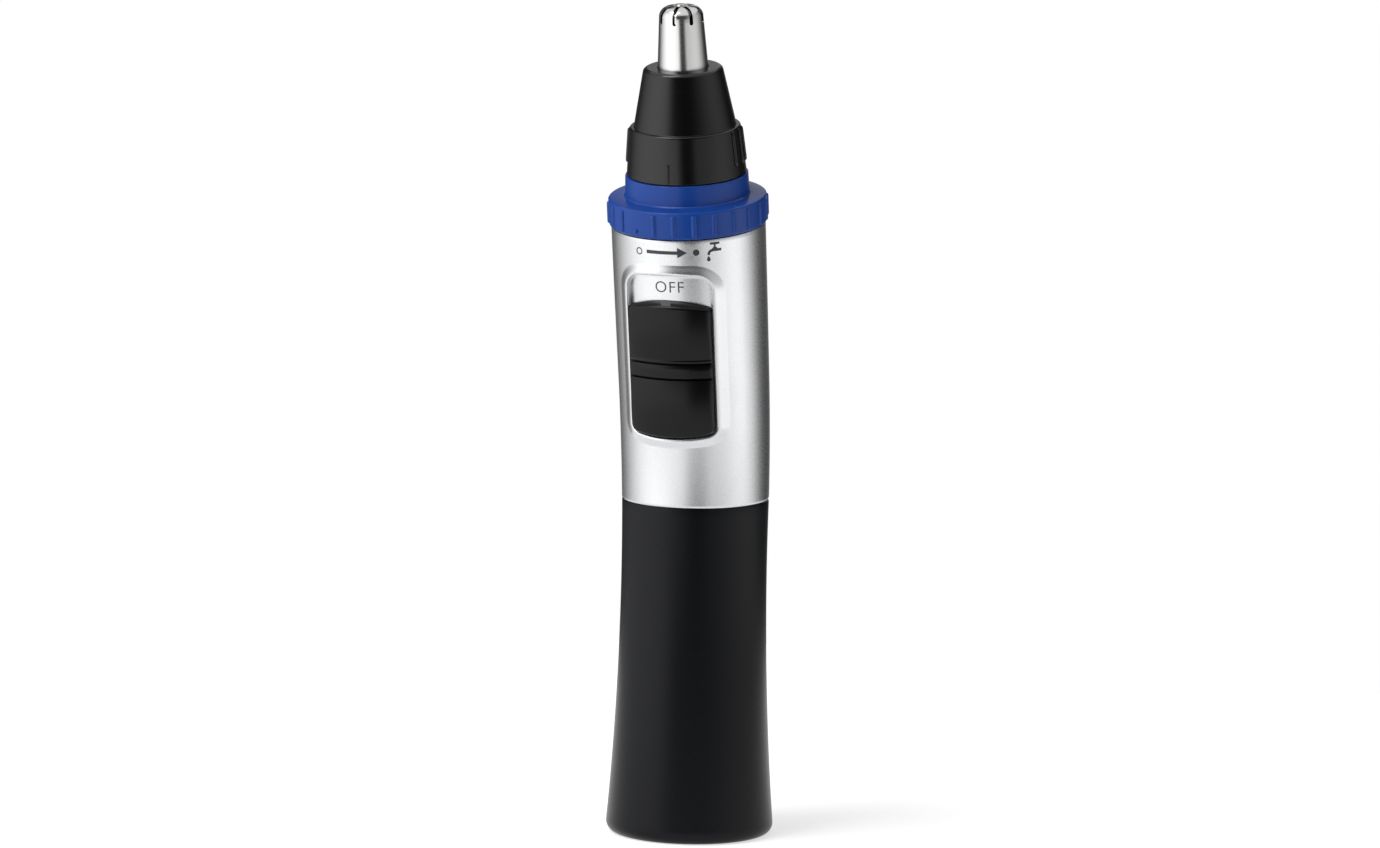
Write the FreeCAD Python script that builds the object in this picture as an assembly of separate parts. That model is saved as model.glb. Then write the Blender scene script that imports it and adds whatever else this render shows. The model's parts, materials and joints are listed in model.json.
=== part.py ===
import FreeCAD, Part
import math
import os

from FreeCAD import Placement, Rotation, Vector

# Battery nose hair trimmer.  Millimetres.  +Z is up along the lower body's axis, -Y is the
# front (the switch side) and the origin is the centre of the base.  The body is straight up
# to the seam; above it the centre line bends forward and then runs straight to the tip.
# Pieces of the head are drawn about an upright axis, with z as the distance s along the
# centre line, and are then laid on the leaning part of the axis by on_head().

# ---- centre line ----
SEAM_Z = 55.0            # height of the seam between battery cover and upper shell
SEAM_TILT = 2.1          # degrees that the centre line leans just above the seam
HEAD_TILT = 9.8          # degrees that the straight head leans
BEND_LENGTH = 20.5       # length of the bend along the centre line
PARTING_GAP = 0.16       # parting line between shells

# ---- battery cover ----
COVER_BASE_R = 13.77     # radius at the base
COVER_WAIST_R = 11.83    # radius at the waist
COVER_WAIST_Z = 44.4     # height of the waist
COVER_BASE_ROUND = 1.7   # rounding of the base edge
COVER_WALL = 1.45
COVER_FLOOR = 1.6
COVER_BORE_DEPTH = 9.5   # straight bore at the mouth that takes the spigot

# ---- upper shell ----
SHELL_SEAM_R = 11.95     # radius at the seam
SHELL_TOP_R = 12.42      # radius under the wash ring
SHELL_CROWN = 0.46       # how much the side bows out between seam and ring
SHELL_BROW = 6.2         # shell between the window's upper corners and the top edge
SHELL_WALL = 1.5
SHELL_STATIONS = 9       # sections of the loft
PLUG_STATIONS = 4        # the same for the short plug inside it, which is ruled

# ---- switch window, on the front of the shell ----
WINDOW_SILL = 12.3       # shell between the seam and the window's lower corners
WINDOW_LENGTH = 27.4     # between the lower and the upper corners
WINDOW_HALF_WIDTH = 7.15
WINDOW_CORNER_R = 2.3
WINDOW_BOW = 0.55        # how much the lower and upper edges bow outwards
WINDOW_DEPTH = 1.3       # from the shell's surface to the recessed floor
BEZEL_HEIGHT = 0.62      # raised rim around the window
BEZEL_WIDTH = 1.15
BEZEL_CREST_ROUND = 0.32
BEZEL_FOOT_ROUND = 0.7
FLOOR_WALL = 1.1         # thickness of the recessed floor
FLOOR_LEDGE = 1.2        # how far the thickened floor runs past the window

# ---- switch ----
SWITCH_TRAVEL = 4.0
KNOB_CLEARANCE = 0.22    # between knob and window
KNOB_FLOOR_GAP = 0.12    # between knob and recessed floor
KNOB_CREST_R = 13.35     # radius of the lobes' crests about the head axis
KNOB_EDGE_R = 12.95      # radius where the lobes end
KNOB_BAND_R = 13.05      # raised finger band
KNOB_GROOVE_R = 12.6     # grooves beside the band
KNOB_BAND_RISE = 12.1    # from the window's lower corners to the band's middle
KNOB_BAND_WIDTH = 2.1
KNOB_GROOVE_WIDTH = 0.45
KNOB_BEVEL_ANGLE = 22.0  # slope of the face that ends the knob at the top
KNOB_BEVEL_TOE = 0.5     # height over the floor where that face starts
STEM_WIDTH = 2.6
STEM_LENGTH = 6.0
STEM_RISE = 12.7         # the same to the stem's middle, switched off
STEM_ROOT = 0.6          # how far under the grooves the stem starts
STEM_CLEARANCE = 0.2
SLIDER_WIDTH = 8.2
SLIDER_LENGTH = 12.0
SLIDER_FRONT_Y = 8.6     # distance of the slider's front face from the head axis
SLIDER_THICKNESS = 1.0
CONTACT_THICKNESS = 0.3
MOVING_CONTACT_WIDTH = 5.2
MOVING_CONTACT_LENGTH = 4.0

# ---- cell (size AA) and its contacts ----
CELL_R = 7.25
CELL_LENGTH = 49.2       # without the nub
CELL_NUB_R = 2.75
CELL_NUB_LENGTH = 1.3
CELL_BOTTOM_Z = 4.7
CELL_EDGE_ROUND = 0.6
SPRING_WIRE_R = 0.32
SPRING_LOW_R = 4.6
SPRING_HIGH_R = 2.4
SPRING_TURNS = 3
SPRING_GAP = 0.1         # between the spring's top and the cell
STRIP_WIDTH = 3.0

# ---- chassis: battery sleeve with the spigot that the cover slides on ----
SLEEVE_CLEARANCE = 0.2   # around the cell
SLEEVE_WALL = 1.1
SLEEVE_BOTTOM_Z = 6.0
SLEEVE_WINDOW_LOW_Z = 13.0
SLEEVE_WINDOW_HIGH_Z = 42.0
SLEEVE_WINDOW_WIDTH = 9.0
SPIGOT_CLEARANCE = 0.15  # to the cover's bore
SPIGOT_LENGTH = 8.2
SPIGOT_WALL = 1.2
CHASSIS_FIT = 0.1        # in the upper shell's mouth
CHASSIS_ROOF = 1.4
PLUG_LENGTH = 5.0        # how far the chassis reaches into the upper shell
SEAL_SECTION_R = 0.55    # cord radius of the O-rings
SEAL_SQUEEZE_GAP = 0.05  # O-rings stop this far short of the bore they seal
COVER_SEAL_DEPTH = 3.6

# ---- motor ----
MOTOR_R = 7.75
MOTOR_ACROSS_FLATS = 12.0
MOTOR_LENGTH = 18.8
MOTOR_DEPTH = 5.9        # from the shell's top edge down to the can
MOTOR_WALL = 0.7
MOTOR_BOSS_R = 3.0
MOTOR_BOSS_HEIGHT = 1.2
END_CAP_LENGTH = 2.2
TERMINAL_LENGTH = 2.4
TERMINAL_SPACING = 7.0
MAGNET_THICKNESS = 2.1
ARMATURE_R = 4.1
ARMATURE_START = 3.3
ARMATURE_LENGTH = 11.0
ARMATURE_SLOT = 0.9
SHAFT_R = 1.0
SHAFT_TAIL = 1.6
SHAFT_GRIP = 3.6         # length of the shaft inside the spindle
BEARING_CLEARANCE = 0.05
MAGNET_GAP = 0.3

# ---- motor cradle and contact board ----
CRADLE_CLEARANCE = 0.12
CRADLE_START = 0.2
CRADLE_DROP = 1.0
CRADLE_FRONT_Y = -2.0    # the cradle is open in front of this
BOARD_THICKNESS = 0.5
BOARD_WIDTH = 8.6
BOARD_TAIL = 5.8
BOARD_DROP = 1.6
FIXED_CONTACT_WIDTH = 1.7
FIXED_CONTACT_SPACING = 3.2

# ---- neck collar: closes the shell and carries ring and nozzle ----
COLLAR_FIT = 0.1         # in the shell's mouth
COLLAR_PLUG_LENGTH = 4.4
COLLAR_FLANGE_R = 11.3
COLLAR_FLANGE_HEIGHT = 1.9
COLLAR_TUBE_R = 8.8
COLLAR_BORE_R = 7.6
COLLAR_LIP_R = 9.15
COLLAR_LIP_HEIGHT = 0.8
COLLAR_WEB_DEPTH = 3.9
COLLAR_WEB_THICKNESS = 1.6
COLLAR_SEAL_DEPTH = 2.6
STOP_DEPTH = 0.9         # stop groove cut into the flange's edge
STOP_HALF_ANGLE = 5.0    # degrees, half the width of the stop that runs in it
STOP_CLEARANCE = 0.15
SHAFT_SEAL_R = 3.2
SHAFT_SEAL_HEIGHT = 2.2
SHAFT_SEAL_CLEARANCE = 0.05

# ---- wash ring ----
RING_TURN = 45.0         # degrees between its two positions
RING_GAP = 0.15          # over the shell's top edge
RING_BAND_HEIGHT = 4.4
RING_BAND_R = 12.72
RING_RIB_R = 12.97
RING_RIB_WIDTH = 0.62
RING_RIBS = 24
RING_INDEX_ANGLE = -22.5  # degrees from the front towards +X; no rib stands here
RING_WALL = 1.1
RING_CLEARANCE = 0.15
RING_NECK_LOW_R = 10.0
RING_NECK_HIGH_R = 9.88
RING_SHOULDER = 0.45     # rise of the sloping shoulder
RING_NECK_HEIGHT = 3.2
RING_EDGE_ROUND = 0.3
RING_FOOT_GROOVE = 0.22
INDEX_BUMP_R = 0.35

# ---- nozzle ----
NOZZLE_SEAT = 0.15       # between the ring's neck and the skirt
NOZZLE_GAP = 0.15        # above the collar's lip
NOZZLE_SEAL_DEPTH = 2.25
SKIRT_LOW_R = 9.62
SKIRT_HIGH_R = 8.9
SKIRT_HEIGHT = 7.7
CONE_LOW_R = 8.22
CONE_HIGH_R = 6.33
CONE_HEIGHT = 9.55
STEP_ROUND = 0.35
SHOULDER_ROUND = 0.8
NOZZLE_WALL = 1.25
NOZZLE_ROOF = 1.1
NOZZLE_SPIGOT_LENGTH = 5.05
NOZZLE_SPIGOT_WALL = 1.1
NOZZLE_SPIGOT_FIT = 0.12
GRIP_RIB_PROUD = 0.32
GRIP_RIB_WIDTH = 0.6
GRIP_RIB_PITCH = 14.0    # degrees
GRIP_RIBS = 3
GRIP_RIB_START = 1.65
FRONT_RIB_WIDTH = 0.5
FRONT_RIB_PROUD = 0.22
FRONT_RIB_HEIGHT = 3.15

# ---- outer blade, the slotted tip ----
TIP_LOW_R = 4.05         # where it leaves the nozzle
TIP_HIGH_R = 3.46        # at the shoulder
TIP_HEIGHT = 9.5
TIP_CROWN = 0.5
TIP_ROUND = 1.15
TIP_WALL = 0.38
TIP_FLANGE_R = 4.9
TIP_FLANGE = 0.4
TIP_FIT = 0.08
SLOT_COUNT = 8
SLOT_WIDTH = 0.56
SLOT_DROP = 2.2
SLOT_INNER_R = 1.05
HUB_R = 0.75
HUB_PROUD = 0.16
RETAINER_HEIGHT = 0.9
RETAINER_R_IN = 3.9

# ---- cutter: drive spindle, spring, blade holder and inner blade ----
BLADE_GAP = 0.2          # between the inner blade and the inside of the tip
BLADE_THICKNESS = 0.6
BLADE_HEIGHT = 4.4
SPINDLE_FOOT = 1.0       # from the shell's top edge up to the spindle
SPINDLE_HUB_R = 2.9
SPINDLE_HUB_LENGTH = 4.7
SPINDLE_R = 1.7
SPINDLE_ENTRY = 3.6      # length of the spindle inside the holder
PRESS_CLEARANCE = 0.02
HOLDER_R = 2.55
HOLDER_LENGTH = 8.4
BLADE_SINK = 0.2
BLADE_SPRING_R = 2.15
BLADE_SPRING_WIRE_R = 0.22
BLADE_SPRING_LENGTH = 5.4
BLADE_SPRING_TURNS = 5
COIL_STEPS = 14          # facets in a turn of a spring
COIL_SIDES = 6           # facets round its wire
SPRING_COLLAR_R = 2.6
SPRING_COLLAR_HEIGHT = 0.9

# ---- places along the centre line, from the sizes above ----
WINDOW_LOW_S = SEAM_Z + WINDOW_SILL
WINDOW_HIGH_S = WINDOW_LOW_S + WINDOW_LENGTH
SHELL_TOP_S = WINDOW_HIGH_S + SHELL_BROW
KNOB_BAND_S = WINDOW_LOW_S + KNOB_BAND_RISE
STEM_S = WINDOW_LOW_S + STEM_RISE
MOTOR_HIGH_S = SHELL_TOP_S - MOTOR_DEPTH
MOTOR_LOW_S = MOTOR_HIGH_S - MOTOR_LENGTH
ARMATURE_LOW_S = MOTOR_LOW_S + ARMATURE_START
ARMATURE_HIGH_S = ARMATURE_LOW_S + ARMATURE_LENGTH
SPINDLE_LOW_S = SHELL_TOP_S + SPINDLE_FOOT
SHAFT_LOW_S = MOTOR_LOW_S - SHAFT_TAIL
SHAFT_HIGH_S = SPINDLE_LOW_S + SHAFT_GRIP
CRADLE_LOW_S = MOTOR_LOW_S + CRADLE_START
CRADLE_HIGH_S = MOTOR_HIGH_S - CRADLE_DROP
BOARD_LOW_S = MOTOR_LOW_S - BOARD_TAIL
BOARD_HIGH_S = MOTOR_HIGH_S - BOARD_DROP
COLLAR_WEB_LOW_S = SHELL_TOP_S - COLLAR_WEB_DEPTH
COLLAR_SEAL_S = SHELL_TOP_S - COLLAR_SEAL_DEPTH
RING_LOW_S = SHELL_TOP_S + RING_GAP
RING_HIGH_S = RING_LOW_S + RING_BAND_HEIGHT
RING_NECK_FOOT_S = RING_HIGH_S + RING_SHOULDER
RING_NECK_HIGH_S = RING_NECK_FOOT_S + RING_NECK_HEIGHT
NOZZLE_LOW_S = RING_NECK_HIGH_S + NOZZLE_SEAT
NOZZLE_SEAL_S = NOZZLE_LOW_S - NOZZLE_SEAL_DEPTH
STEP_S = NOZZLE_LOW_S + SKIRT_HEIGHT
CONE_HIGH_S = STEP_S + CONE_HEIGHT
NOZZLE_SPIGOT_LOW_S = NOZZLE_LOW_S - NOZZLE_SPIGOT_LENGTH
GRIP_RIB_LOW_S = NOZZLE_LOW_S + GRIP_RIB_START
FRONT_RIB_HIGH_S = NOZZLE_LOW_S + FRONT_RIB_HEIGHT
TIP_SHOULDER_S = CONE_HIGH_S + TIP_HEIGHT
TIP_TOP_S = TIP_SHOULDER_S + TIP_CROWN
SLOT_LOW_S = TIP_SHOULDER_S - SLOT_DROP
BLADE_LOW_S = TIP_SHOULDER_S - BLADE_HEIGHT
HOLDER_HIGH_S = BLADE_LOW_S - BLADE_SINK
HOLDER_LOW_S = HOLDER_HIGH_S - HOLDER_LENGTH
SPINDLE_HUB_HIGH_S = SPINDLE_LOW_S + SPINDLE_HUB_LENGTH
SPINDLE_HIGH_S = HOLDER_LOW_S + SPINDLE_ENTRY
BLADE_SPRING_LOW_S = HOLDER_LOW_S - BLADE_SPRING_LENGTH
SPIGOT_LOW_Z = SEAM_Z - SPIGOT_LENGTH
COVER_SEAL_Z = SEAM_Z - COVER_SEAL_DEPTH

Z_AXIS = Vector(0, 0, 1)
ORIGIN = Vector(0, 0, 0)

bend_radius = BEND_LENGTH / math.radians(HEAD_TILT - SEAM_TILT)
bend_end_s = SEAM_Z + BEND_LENGTH


def axis_point(s):
    """Point on the centre line and its lean in degrees, at distance s from the base."""
    if s <= SEAM_Z:
        return Vector(0, 0, s), 0.0
    start = math.radians(SEAM_TILT)
    lean = start + min(s - SEAM_Z, BEND_LENGTH) / bend_radius
    y = bend_radius * (math.cos(lean) - math.cos(start))
    z = SEAM_Z + bend_radius * (math.sin(lean) - math.sin(start))
    straight = max(0.0, s - bend_end_s)
    point = Vector(0, y - straight * math.sin(lean), z + straight * math.cos(lean))
    return point, math.degrees(lean)


def head_placement():
    """Placement that takes (0, 0, s) on the upright axis to the head's straight axis."""
    turn = Rotation(Vector(1, 0, 0), HEAD_TILT)
    bend_end, _ = axis_point(bend_end_s)
    return Placement(bend_end - turn.multVec(Vector(0, 0, bend_end_s)), turn)


def on_head(shape):
    placed = shape.copy()
    placed.Placement = head_placement().multiply(placed.Placement)
    return placed


def cylinder(radius, low, high):
    return Part.makeCylinder(radius, high - low, Vector(0, 0, low))


def tube(outer, inner, low, high):
    return cylinder(outer, low, high).cut(cylinder(inner, low, high))


def lathe(points):
    """Solid of revolution about Z from (radius, height) corners."""
    corners = [Vector(radius, 0, height) for radius, height in points]
    outline = Part.makePolygon(corners + corners[:1])
    return Part.Face(outline).revolve(ORIGIN, Z_AXIS, 360)


def block(x_size, y_low, y_high, z_low, z_high, x_middle=0.0):
    corner = Vector(x_middle - x_size / 2, y_low, z_low)
    return Part.makeBox(x_size, y_high - y_low, z_high - z_low, corner)


def turned(shape, degrees):
    """Copy turned about Z; 0 is the front (-Y) and positive goes towards +X."""
    copy = shape.copy()
    copy.rotate(ORIGIN, Z_AXIS, degrees)
    return copy


def rounded(shape, radius, heights, tolerance=0.02):
    """Fillet the full circular edges that lie at the given heights."""
    edges = []
    for edge in shape.Edges:
        low, high = edge.BoundBox.ZMin, edge.BoundBox.ZMax
        level = high - low < tolerance and edge.Length > radius
        if level and any(abs(low - height) < tolerance for height in heights):
            edges.append(edge)
    return shape.makeFillet(radius, edges)


def o_ring(middle_radius, height):
    return Part.makeTorus(middle_radius, SEAL_SECTION_R, Vector(0, 0, height))


def coil(low_radius, high_radius, low, high, turns, wire_radius):
    """Coil spring of faceted wire that reaches exactly from low to high."""
    rise = high - low - 2 * wire_radius
    steps = turns * COIL_STEPS
    sections = []
    for step in range(steps + 1):
        share = step / steps
        radius = low_radius + (high_radius - low_radius) * share
        middle = Vector(radius, 0, low + wire_radius + rise * share)
        corners = []
        for side in range(COIL_SIDES + 1):
            around = 2 * math.pi * (side % COIL_SIDES) / COIL_SIDES
            corner = Vector(math.cos(around), 0, math.sin(around)) * wire_radius
            corners.append(middle + corner)
        sections.append(turned(Part.makePolygon(corners), 360.0 * turns * share))
    return Part.makeLoft(sections, True, True)


# ---------------------------------------------------------------- forms


def shell_radius(s):
    share = (s - SEAM_Z) / (SHELL_TOP_S - SEAM_Z)
    bow = share * (1 + SHELL_CROWN * (1 - share))
    return SHELL_SEAM_R + (SHELL_TOP_R - SHELL_SEAM_R) * bow


def shell_form(offset, low_s, high_s, stations=SHELL_STATIONS, ruled=False):
    """The upper body's bent form, moved outwards by offset, as a loft through circles."""
    rings = []
    for number in range(stations):
        s = low_s + (high_s - low_s) * number / (stations - 1)
        centre, lean = axis_point(s)
        if number == 0:
            lean = 0.0
        direction = Vector(0, -math.sin(math.radians(lean)), math.cos(math.radians(lean)))
        rings.append(Part.Wire(Part.makeCircle(shell_radius(s) + offset, centre, direction)))
    return Part.makeLoft(rings, True, ruled)


def cover_radius(z):
    """Parabola with its waist at COVER_WAIST_Z."""
    flare = (COVER_BASE_R - COVER_WAIST_R) / COVER_WAIST_Z ** 2
    return COVER_WAIST_R + flare * (z - COVER_WAIST_Z) ** 2


def cover_form(offset, low, high):
    """Solid inside the battery cover's flared side, moved outwards by offset."""
    slope = 2 * (COVER_BASE_R - COVER_WAIST_R) / COVER_WAIST_Z ** 2 * (low - COVER_WAIST_Z)
    half = (high - low) / 2
    start = Vector(cover_radius(low) + offset, 0, low)
    pole = Vector(start.x + slope * half, 0, low + half)
    end = Vector(cover_radius(high) + offset, 0, high)
    side = Part.BezierCurve()
    side.setPoles([start, pole, end])
    bottom = Part.makeLine(Vector(0, 0, low), start)
    top = Part.makeLine(end, Vector(0, 0, high))
    axis = Part.makeLine(Vector(0, 0, high), Vector(0, 0, low))
    outline = Part.Wire([bottom, side.toShape(), top, axis])
    return Part.Face(outline).revolve(ORIGIN, Z_AXIS, 360)


def window_prism(grow, low_s, high_s, near=-2.0, far=-20.0):
    """Rounded window outline, grown all round, extruded to the front of the head."""
    half = WINDOW_HALF_WIDTH + grow
    low = low_s - grow
    high = high_s + grow
    left_low, right_low = Vector(-half, near, low), Vector(half, near, low)
    left_high, right_high = Vector(-half, near, high), Vector(half, near, high)
    bottom = Part.Arc(left_low, Vector(0, near, low - WINDOW_BOW), right_low).toShape()
    top = Part.Arc(right_high, Vector(0, near, high + WINDOW_BOW), left_high).toShape()
    right = Part.makeLine(right_low, right_high)
    left = Part.makeLine(left_high, left_low)
    prism = Part.Face(Part.Wire([bottom, right, top, left])).extrude(Vector(0, far - near, 0))
    depth = abs(far - near)
    corners = [edge for edge in prism.Edges if abs(edge.BoundBox.YLength - depth) < 1e-6]
    return prism.makeFillet(WINDOW_CORNER_R + grow, corners)


def tip_form(inset, low_s):
    """The tip's tapered and domed form, moved inwards by inset."""
    drop = TIP_SHOULDER_S - CONE_HIGH_S
    taper = (TIP_LOW_R - TIP_HIGH_R) / drop
    low_r = TIP_HIGH_R + taper * (TIP_SHOULDER_S - low_s) - inset
    shoulder_s = TIP_SHOULDER_S - inset
    shoulder = Vector(TIP_HIGH_R + taper * inset - inset, 0, shoulder_s)
    top = Vector(0, 0, TIP_TOP_S - inset)
    crown_r = (shoulder.x ** 2 + (top.z - shoulder.z) ** 2) / (2 * (top.z - shoulder.z))
    middle_x = shoulder.x / 2
    middle = Vector(middle_x, 0, top.z - crown_r + math.sqrt(crown_r ** 2 - middle_x ** 2))
    side = Part.makeLine(Vector(low_r, 0, low_s), shoulder)
    dome = Part.Arc(shoulder, middle, top).toShape()
    axis = Part.makeLine(top, Vector(0, 0, low_s))
    base = Part.makeLine(Vector(0, 0, low_s), Vector(low_r, 0, low_s))
    form = Part.Face(Part.Wire([side, dome, axis, base])).revolve(ORIGIN, Z_AXIS, 360)
    return rounded(form, TIP_ROUND - inset, [shoulder_s])


# ---------------------------------------------------------------- battery cover


def cover_bore_radius():
    return COVER_WAIST_R - COVER_WALL + 0.1


def battery_cover():
    top = SEAM_Z - PARTING_GAP / 2
    cover = rounded(cover_form(0, 0, top), COVER_BASE_ROUND, [0])
    cover = cover.cut(cover_form(-COVER_WALL, COVER_FLOOR, top + 1))
    cover = cover.cut(cylinder(cover_bore_radius(), top - COVER_BORE_DEPTH, top + 1))
    return cover


def cover_spring():
    top = CELL_BOTTOM_Z - SPRING_GAP
    low = COVER_FLOOR + CONTACT_THICKNESS
    return coil(SPRING_LOW_R, SPRING_HIGH_R, low, top, SPRING_TURNS, SPRING_WIRE_R)


def strip_back_y():
    """Distance of the cover's contact strip from the axis."""
    return COVER_WAIST_R - COVER_WALL - SPIGOT_CLEARANCE


def negative_strip():
    """Disc under the spring with a strip that runs up the back of the cover."""
    back = strip_back_y()
    disc = cylinder(SPRING_LOW_R + 2 * SPRING_WIRE_R, COVER_FLOOR, COVER_FLOOR + CONTACT_THICKNESS)
    foot = block(STRIP_WIDTH, 0, back, COVER_FLOOR, COVER_FLOOR + CONTACT_THICKNESS)
    riser_top = SPIGOT_LOW_Z - SPIGOT_CLEARANCE
    riser = block(STRIP_WIDTH, back - CONTACT_THICKNESS, back, COVER_FLOOR, riser_top)
    return disc.fuse([foot, riser]).removeSplitter()


# ---------------------------------------------------------------- upper shell


def upper_shell():
    low = SEAM_Z + PARTING_GAP / 2
    outer = shell_form(0, low, SHELL_TOP_S)
    bezel = on_head(window_prism(BEZEL_WIDTH, WINDOW_LOW_S, WINDOW_HIGH_S))
    bezel = bezel.common(shell_form(BEZEL_HEIGHT, low, SHELL_TOP_S))
    body = outer.fuse(bezel)
    body = soften_bezel(body)
    window = on_head(window_prism(0, WINDOW_LOW_S, WINDOW_HIGH_S))
    body = body.cut(window.cut(shell_form(-WINDOW_DEPTH, low, SHELL_TOP_S)))
    pad = on_head(window_prism(FLOOR_LEDGE, WINDOW_LOW_S, WINDOW_HIGH_S))
    pad = pad.cut(shell_form(-WINDOW_DEPTH - FLOOR_WALL, low, SHELL_TOP_S))
    cavity = shell_form(-SHELL_WALL, low, SHELL_TOP_S).cut(pad)
    body = body.cut(cavity)
    slot_length = STEM_LENGTH + SWITCH_TRAVEL + 2 * STEM_CLEARANCE
    slot_low = STEM_S - STEM_LENGTH / 2 - STEM_CLEARANCE
    slot = block(STEM_WIDTH + 2 * STEM_CLEARANCE, -20, -6, slot_low, slot_low + slot_length)
    return body.cut(on_head(slot))


def soften_bezel(body):
    """Round the raised rim's crest and blend its foot into the shell."""
    crest = bezel_edges(body, BEZEL_HEIGHT)
    body = body.makeFillet(BEZEL_CREST_ROUND, crest)
    foot = bezel_edges(body, 0)
    return body.makeFillet(BEZEL_FOOT_ROUND, foot)


def bezel_edges(body, offset):
    """Edges of the rim that lie on the shell's form moved outwards by offset."""
    turn_back = head_placement().inverse()
    half = WINDOW_HALF_WIDTH + BEZEL_WIDTH + 0.1
    found = []
    for edge in body.Edges:
        middle = edge.valueAt((edge.FirstParameter + edge.LastParameter) / 2)
        local = turn_back.multVec(middle)
        if local.y > 0 or abs(local.x) > half:
            continue
        if not WINDOW_LOW_S - 3 < local.z < WINDOW_HIGH_S + 3:
            continue
        radius = radius_about_axis(middle)
        if abs(radius - offset) < 0.03:
            found.append(edge)
    return found


def radius_about_axis(point):
    """How far a point lies outside the shell's form, measured level with the axis."""
    best = None
    for number in range(200):
        s = SEAM_Z + (SHELL_TOP_S - SEAM_Z) * number / 199
        centre, lean = axis_point(s)
        tangent = Vector(0, -math.sin(math.radians(lean)), math.cos(math.radians(lean)))
        away = point - centre
        along = abs(away.dot(tangent))
        if best is None or along < best[0]:
            best = (along, away.cross(tangent).Length - shell_radius(s))
    return best[1]


# ---------------------------------------------------------------- switch


def switch_knob():
    """Thumb slide: two bulged lobes with a finger band between two grooves, and its stem."""
    low = WINDOW_LOW_S + KNOB_CLEARANCE
    high = WINDOW_HIGH_S - KNOB_CLEARANCE - SWITCH_TRAVEL
    end_room = WINDOW_BOW + 1.0
    band_low = KNOB_BAND_S - KNOB_BAND_WIDTH / 2
    band_high = KNOB_BAND_S + KNOB_BAND_WIDTH / 2
    lobe_low = band_low - KNOB_GROOVE_WIDTH
    lobe_high = band_high + KNOB_GROOVE_WIDTH

    def point(radius, s):
        return Vector(radius, 0, s)

    def lobe(start_s, end_s):
        middle = point(KNOB_CREST_R, (start_s + end_s) / 2)
        return Part.Arc(point(KNOB_EDGE_R, start_s), middle, point(KNOB_EDGE_R, end_s)).toShape()

    def groove(start_r, end_r, start_s, end_s):
        middle = point(KNOB_GROOVE_R, (start_s + end_s) / 2)
        return Part.Arc(point(start_r, start_s), middle, point(end_r, end_s)).toShape()

    bottom = low - end_room
    top = high + end_room
    outline = [
        Part.makeLine(point(0, bottom), point(KNOB_EDGE_R, bottom)),
        lobe(bottom, lobe_low),
        groove(KNOB_EDGE_R, KNOB_BAND_R, lobe_low, band_low),
        Part.makeLine(point(KNOB_BAND_R, band_low), point(KNOB_BAND_R, band_high)),
        groove(KNOB_BAND_R, KNOB_EDGE_R, band_high, lobe_high),
        lobe(lobe_high, top),
        Part.makeLine(point(KNOB_EDGE_R, top), point(0, top)),
        Part.makeLine(point(0, top), point(0, bottom)),
    ]
    form = Part.Face(Part.Wire(outline)).revolve(ORIGIN, Z_AXIS, 360)
    prism = window_prism(-KNOB_CLEARANCE, WINDOW_LOW_S, WINDOW_HIGH_S - SWITCH_TRAVEL)
    knob = on_head(form.common(prism)).cut(knob_bed())
    return knob.cut(on_head(knob_bevel(high))).fuse(on_head(switch_stem())).removeSplitter()


def knob_bed():
    """The recessed floor with the knob's gap over it, over the knob's whole travel."""
    beds = []
    direction = head_placement().Rotation.multVec(Z_AXIS)
    for step in (0.0, 0.5, 1.0):
        bed = shell_form(KNOB_FLOOR_GAP - WINDOW_DEPTH, SEAM_Z, SHELL_TOP_S)
        bed.translate(direction * (-SWITCH_TRAVEL * step))
        beds.append(bed)
    return beds[0].fuse(beds[1:])


def knob_bevel(high):
    """Block whose sloping face takes the knob's upper front edge off."""
    wedge = Part.makeBox(40, 20, 20, Vector(-20, -20, 0))
    wedge.rotate(ORIGIN, Vector(1, 0, 0), KNOB_BEVEL_ANGLE)
    floor_r = shell_radius(high) - WINDOW_DEPTH + KNOB_BEVEL_TOE
    wedge.translate(Vector(0, -floor_r, high + WINDOW_BOW))
    return wedge


def switch_stem():
    low = STEM_S - STEM_LENGTH / 2
    root = KNOB_GROOVE_R - STEM_ROOT
    return block(STEM_WIDTH, -root, -SLIDER_FRONT_Y, low, low + STEM_LENGTH)


def switch_slider():
    back = SLIDER_FRONT_Y - SLIDER_THICKNESS
    low = STEM_S - SLIDER_LENGTH / 2
    plate = block(SLIDER_WIDTH, -SLIDER_FRONT_Y, -back, low, low + SLIDER_LENGTH)
    return on_head(plate)


def moving_contact():
    front = SLIDER_FRONT_Y - SLIDER_THICKNESS
    low = STEM_S - MOVING_CONTACT_LENGTH / 2
    clip = block(MOVING_CONTACT_WIDTH, -front, -front + CONTACT_THICKNESS, low,
                 low + MOVING_CONTACT_LENGTH)
    return on_head(clip)


# ---------------------------------------------------------------- cell and chassis


def battery_cell():
    body = rounded(cylinder(CELL_R, CELL_BOTTOM_Z, CELL_BOTTOM_Z + CELL_LENGTH),
                   CELL_EDGE_ROUND, [CELL_BOTTOM_Z, CELL_BOTTOM_Z + CELL_LENGTH])
    top = CELL_BOTTOM_Z + CELL_LENGTH
    return body.fuse(cylinder(CELL_NUB_R, top - 0.1, top + CELL_NUB_LENGTH)).removeSplitter()


def cell_top_z():
    return CELL_BOTTOM_Z + CELL_LENGTH + CELL_NUB_LENGTH


def spigot_radius():
    return cover_bore_radius() - SPIGOT_CLEARANCE


def sleeve_radius():
    return CELL_R + SLEEVE_CLEARANCE


def roof_low_z():
    return cell_top_z() + CONTACT_THICKNESS + PRESS_CLEARANCE


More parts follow.
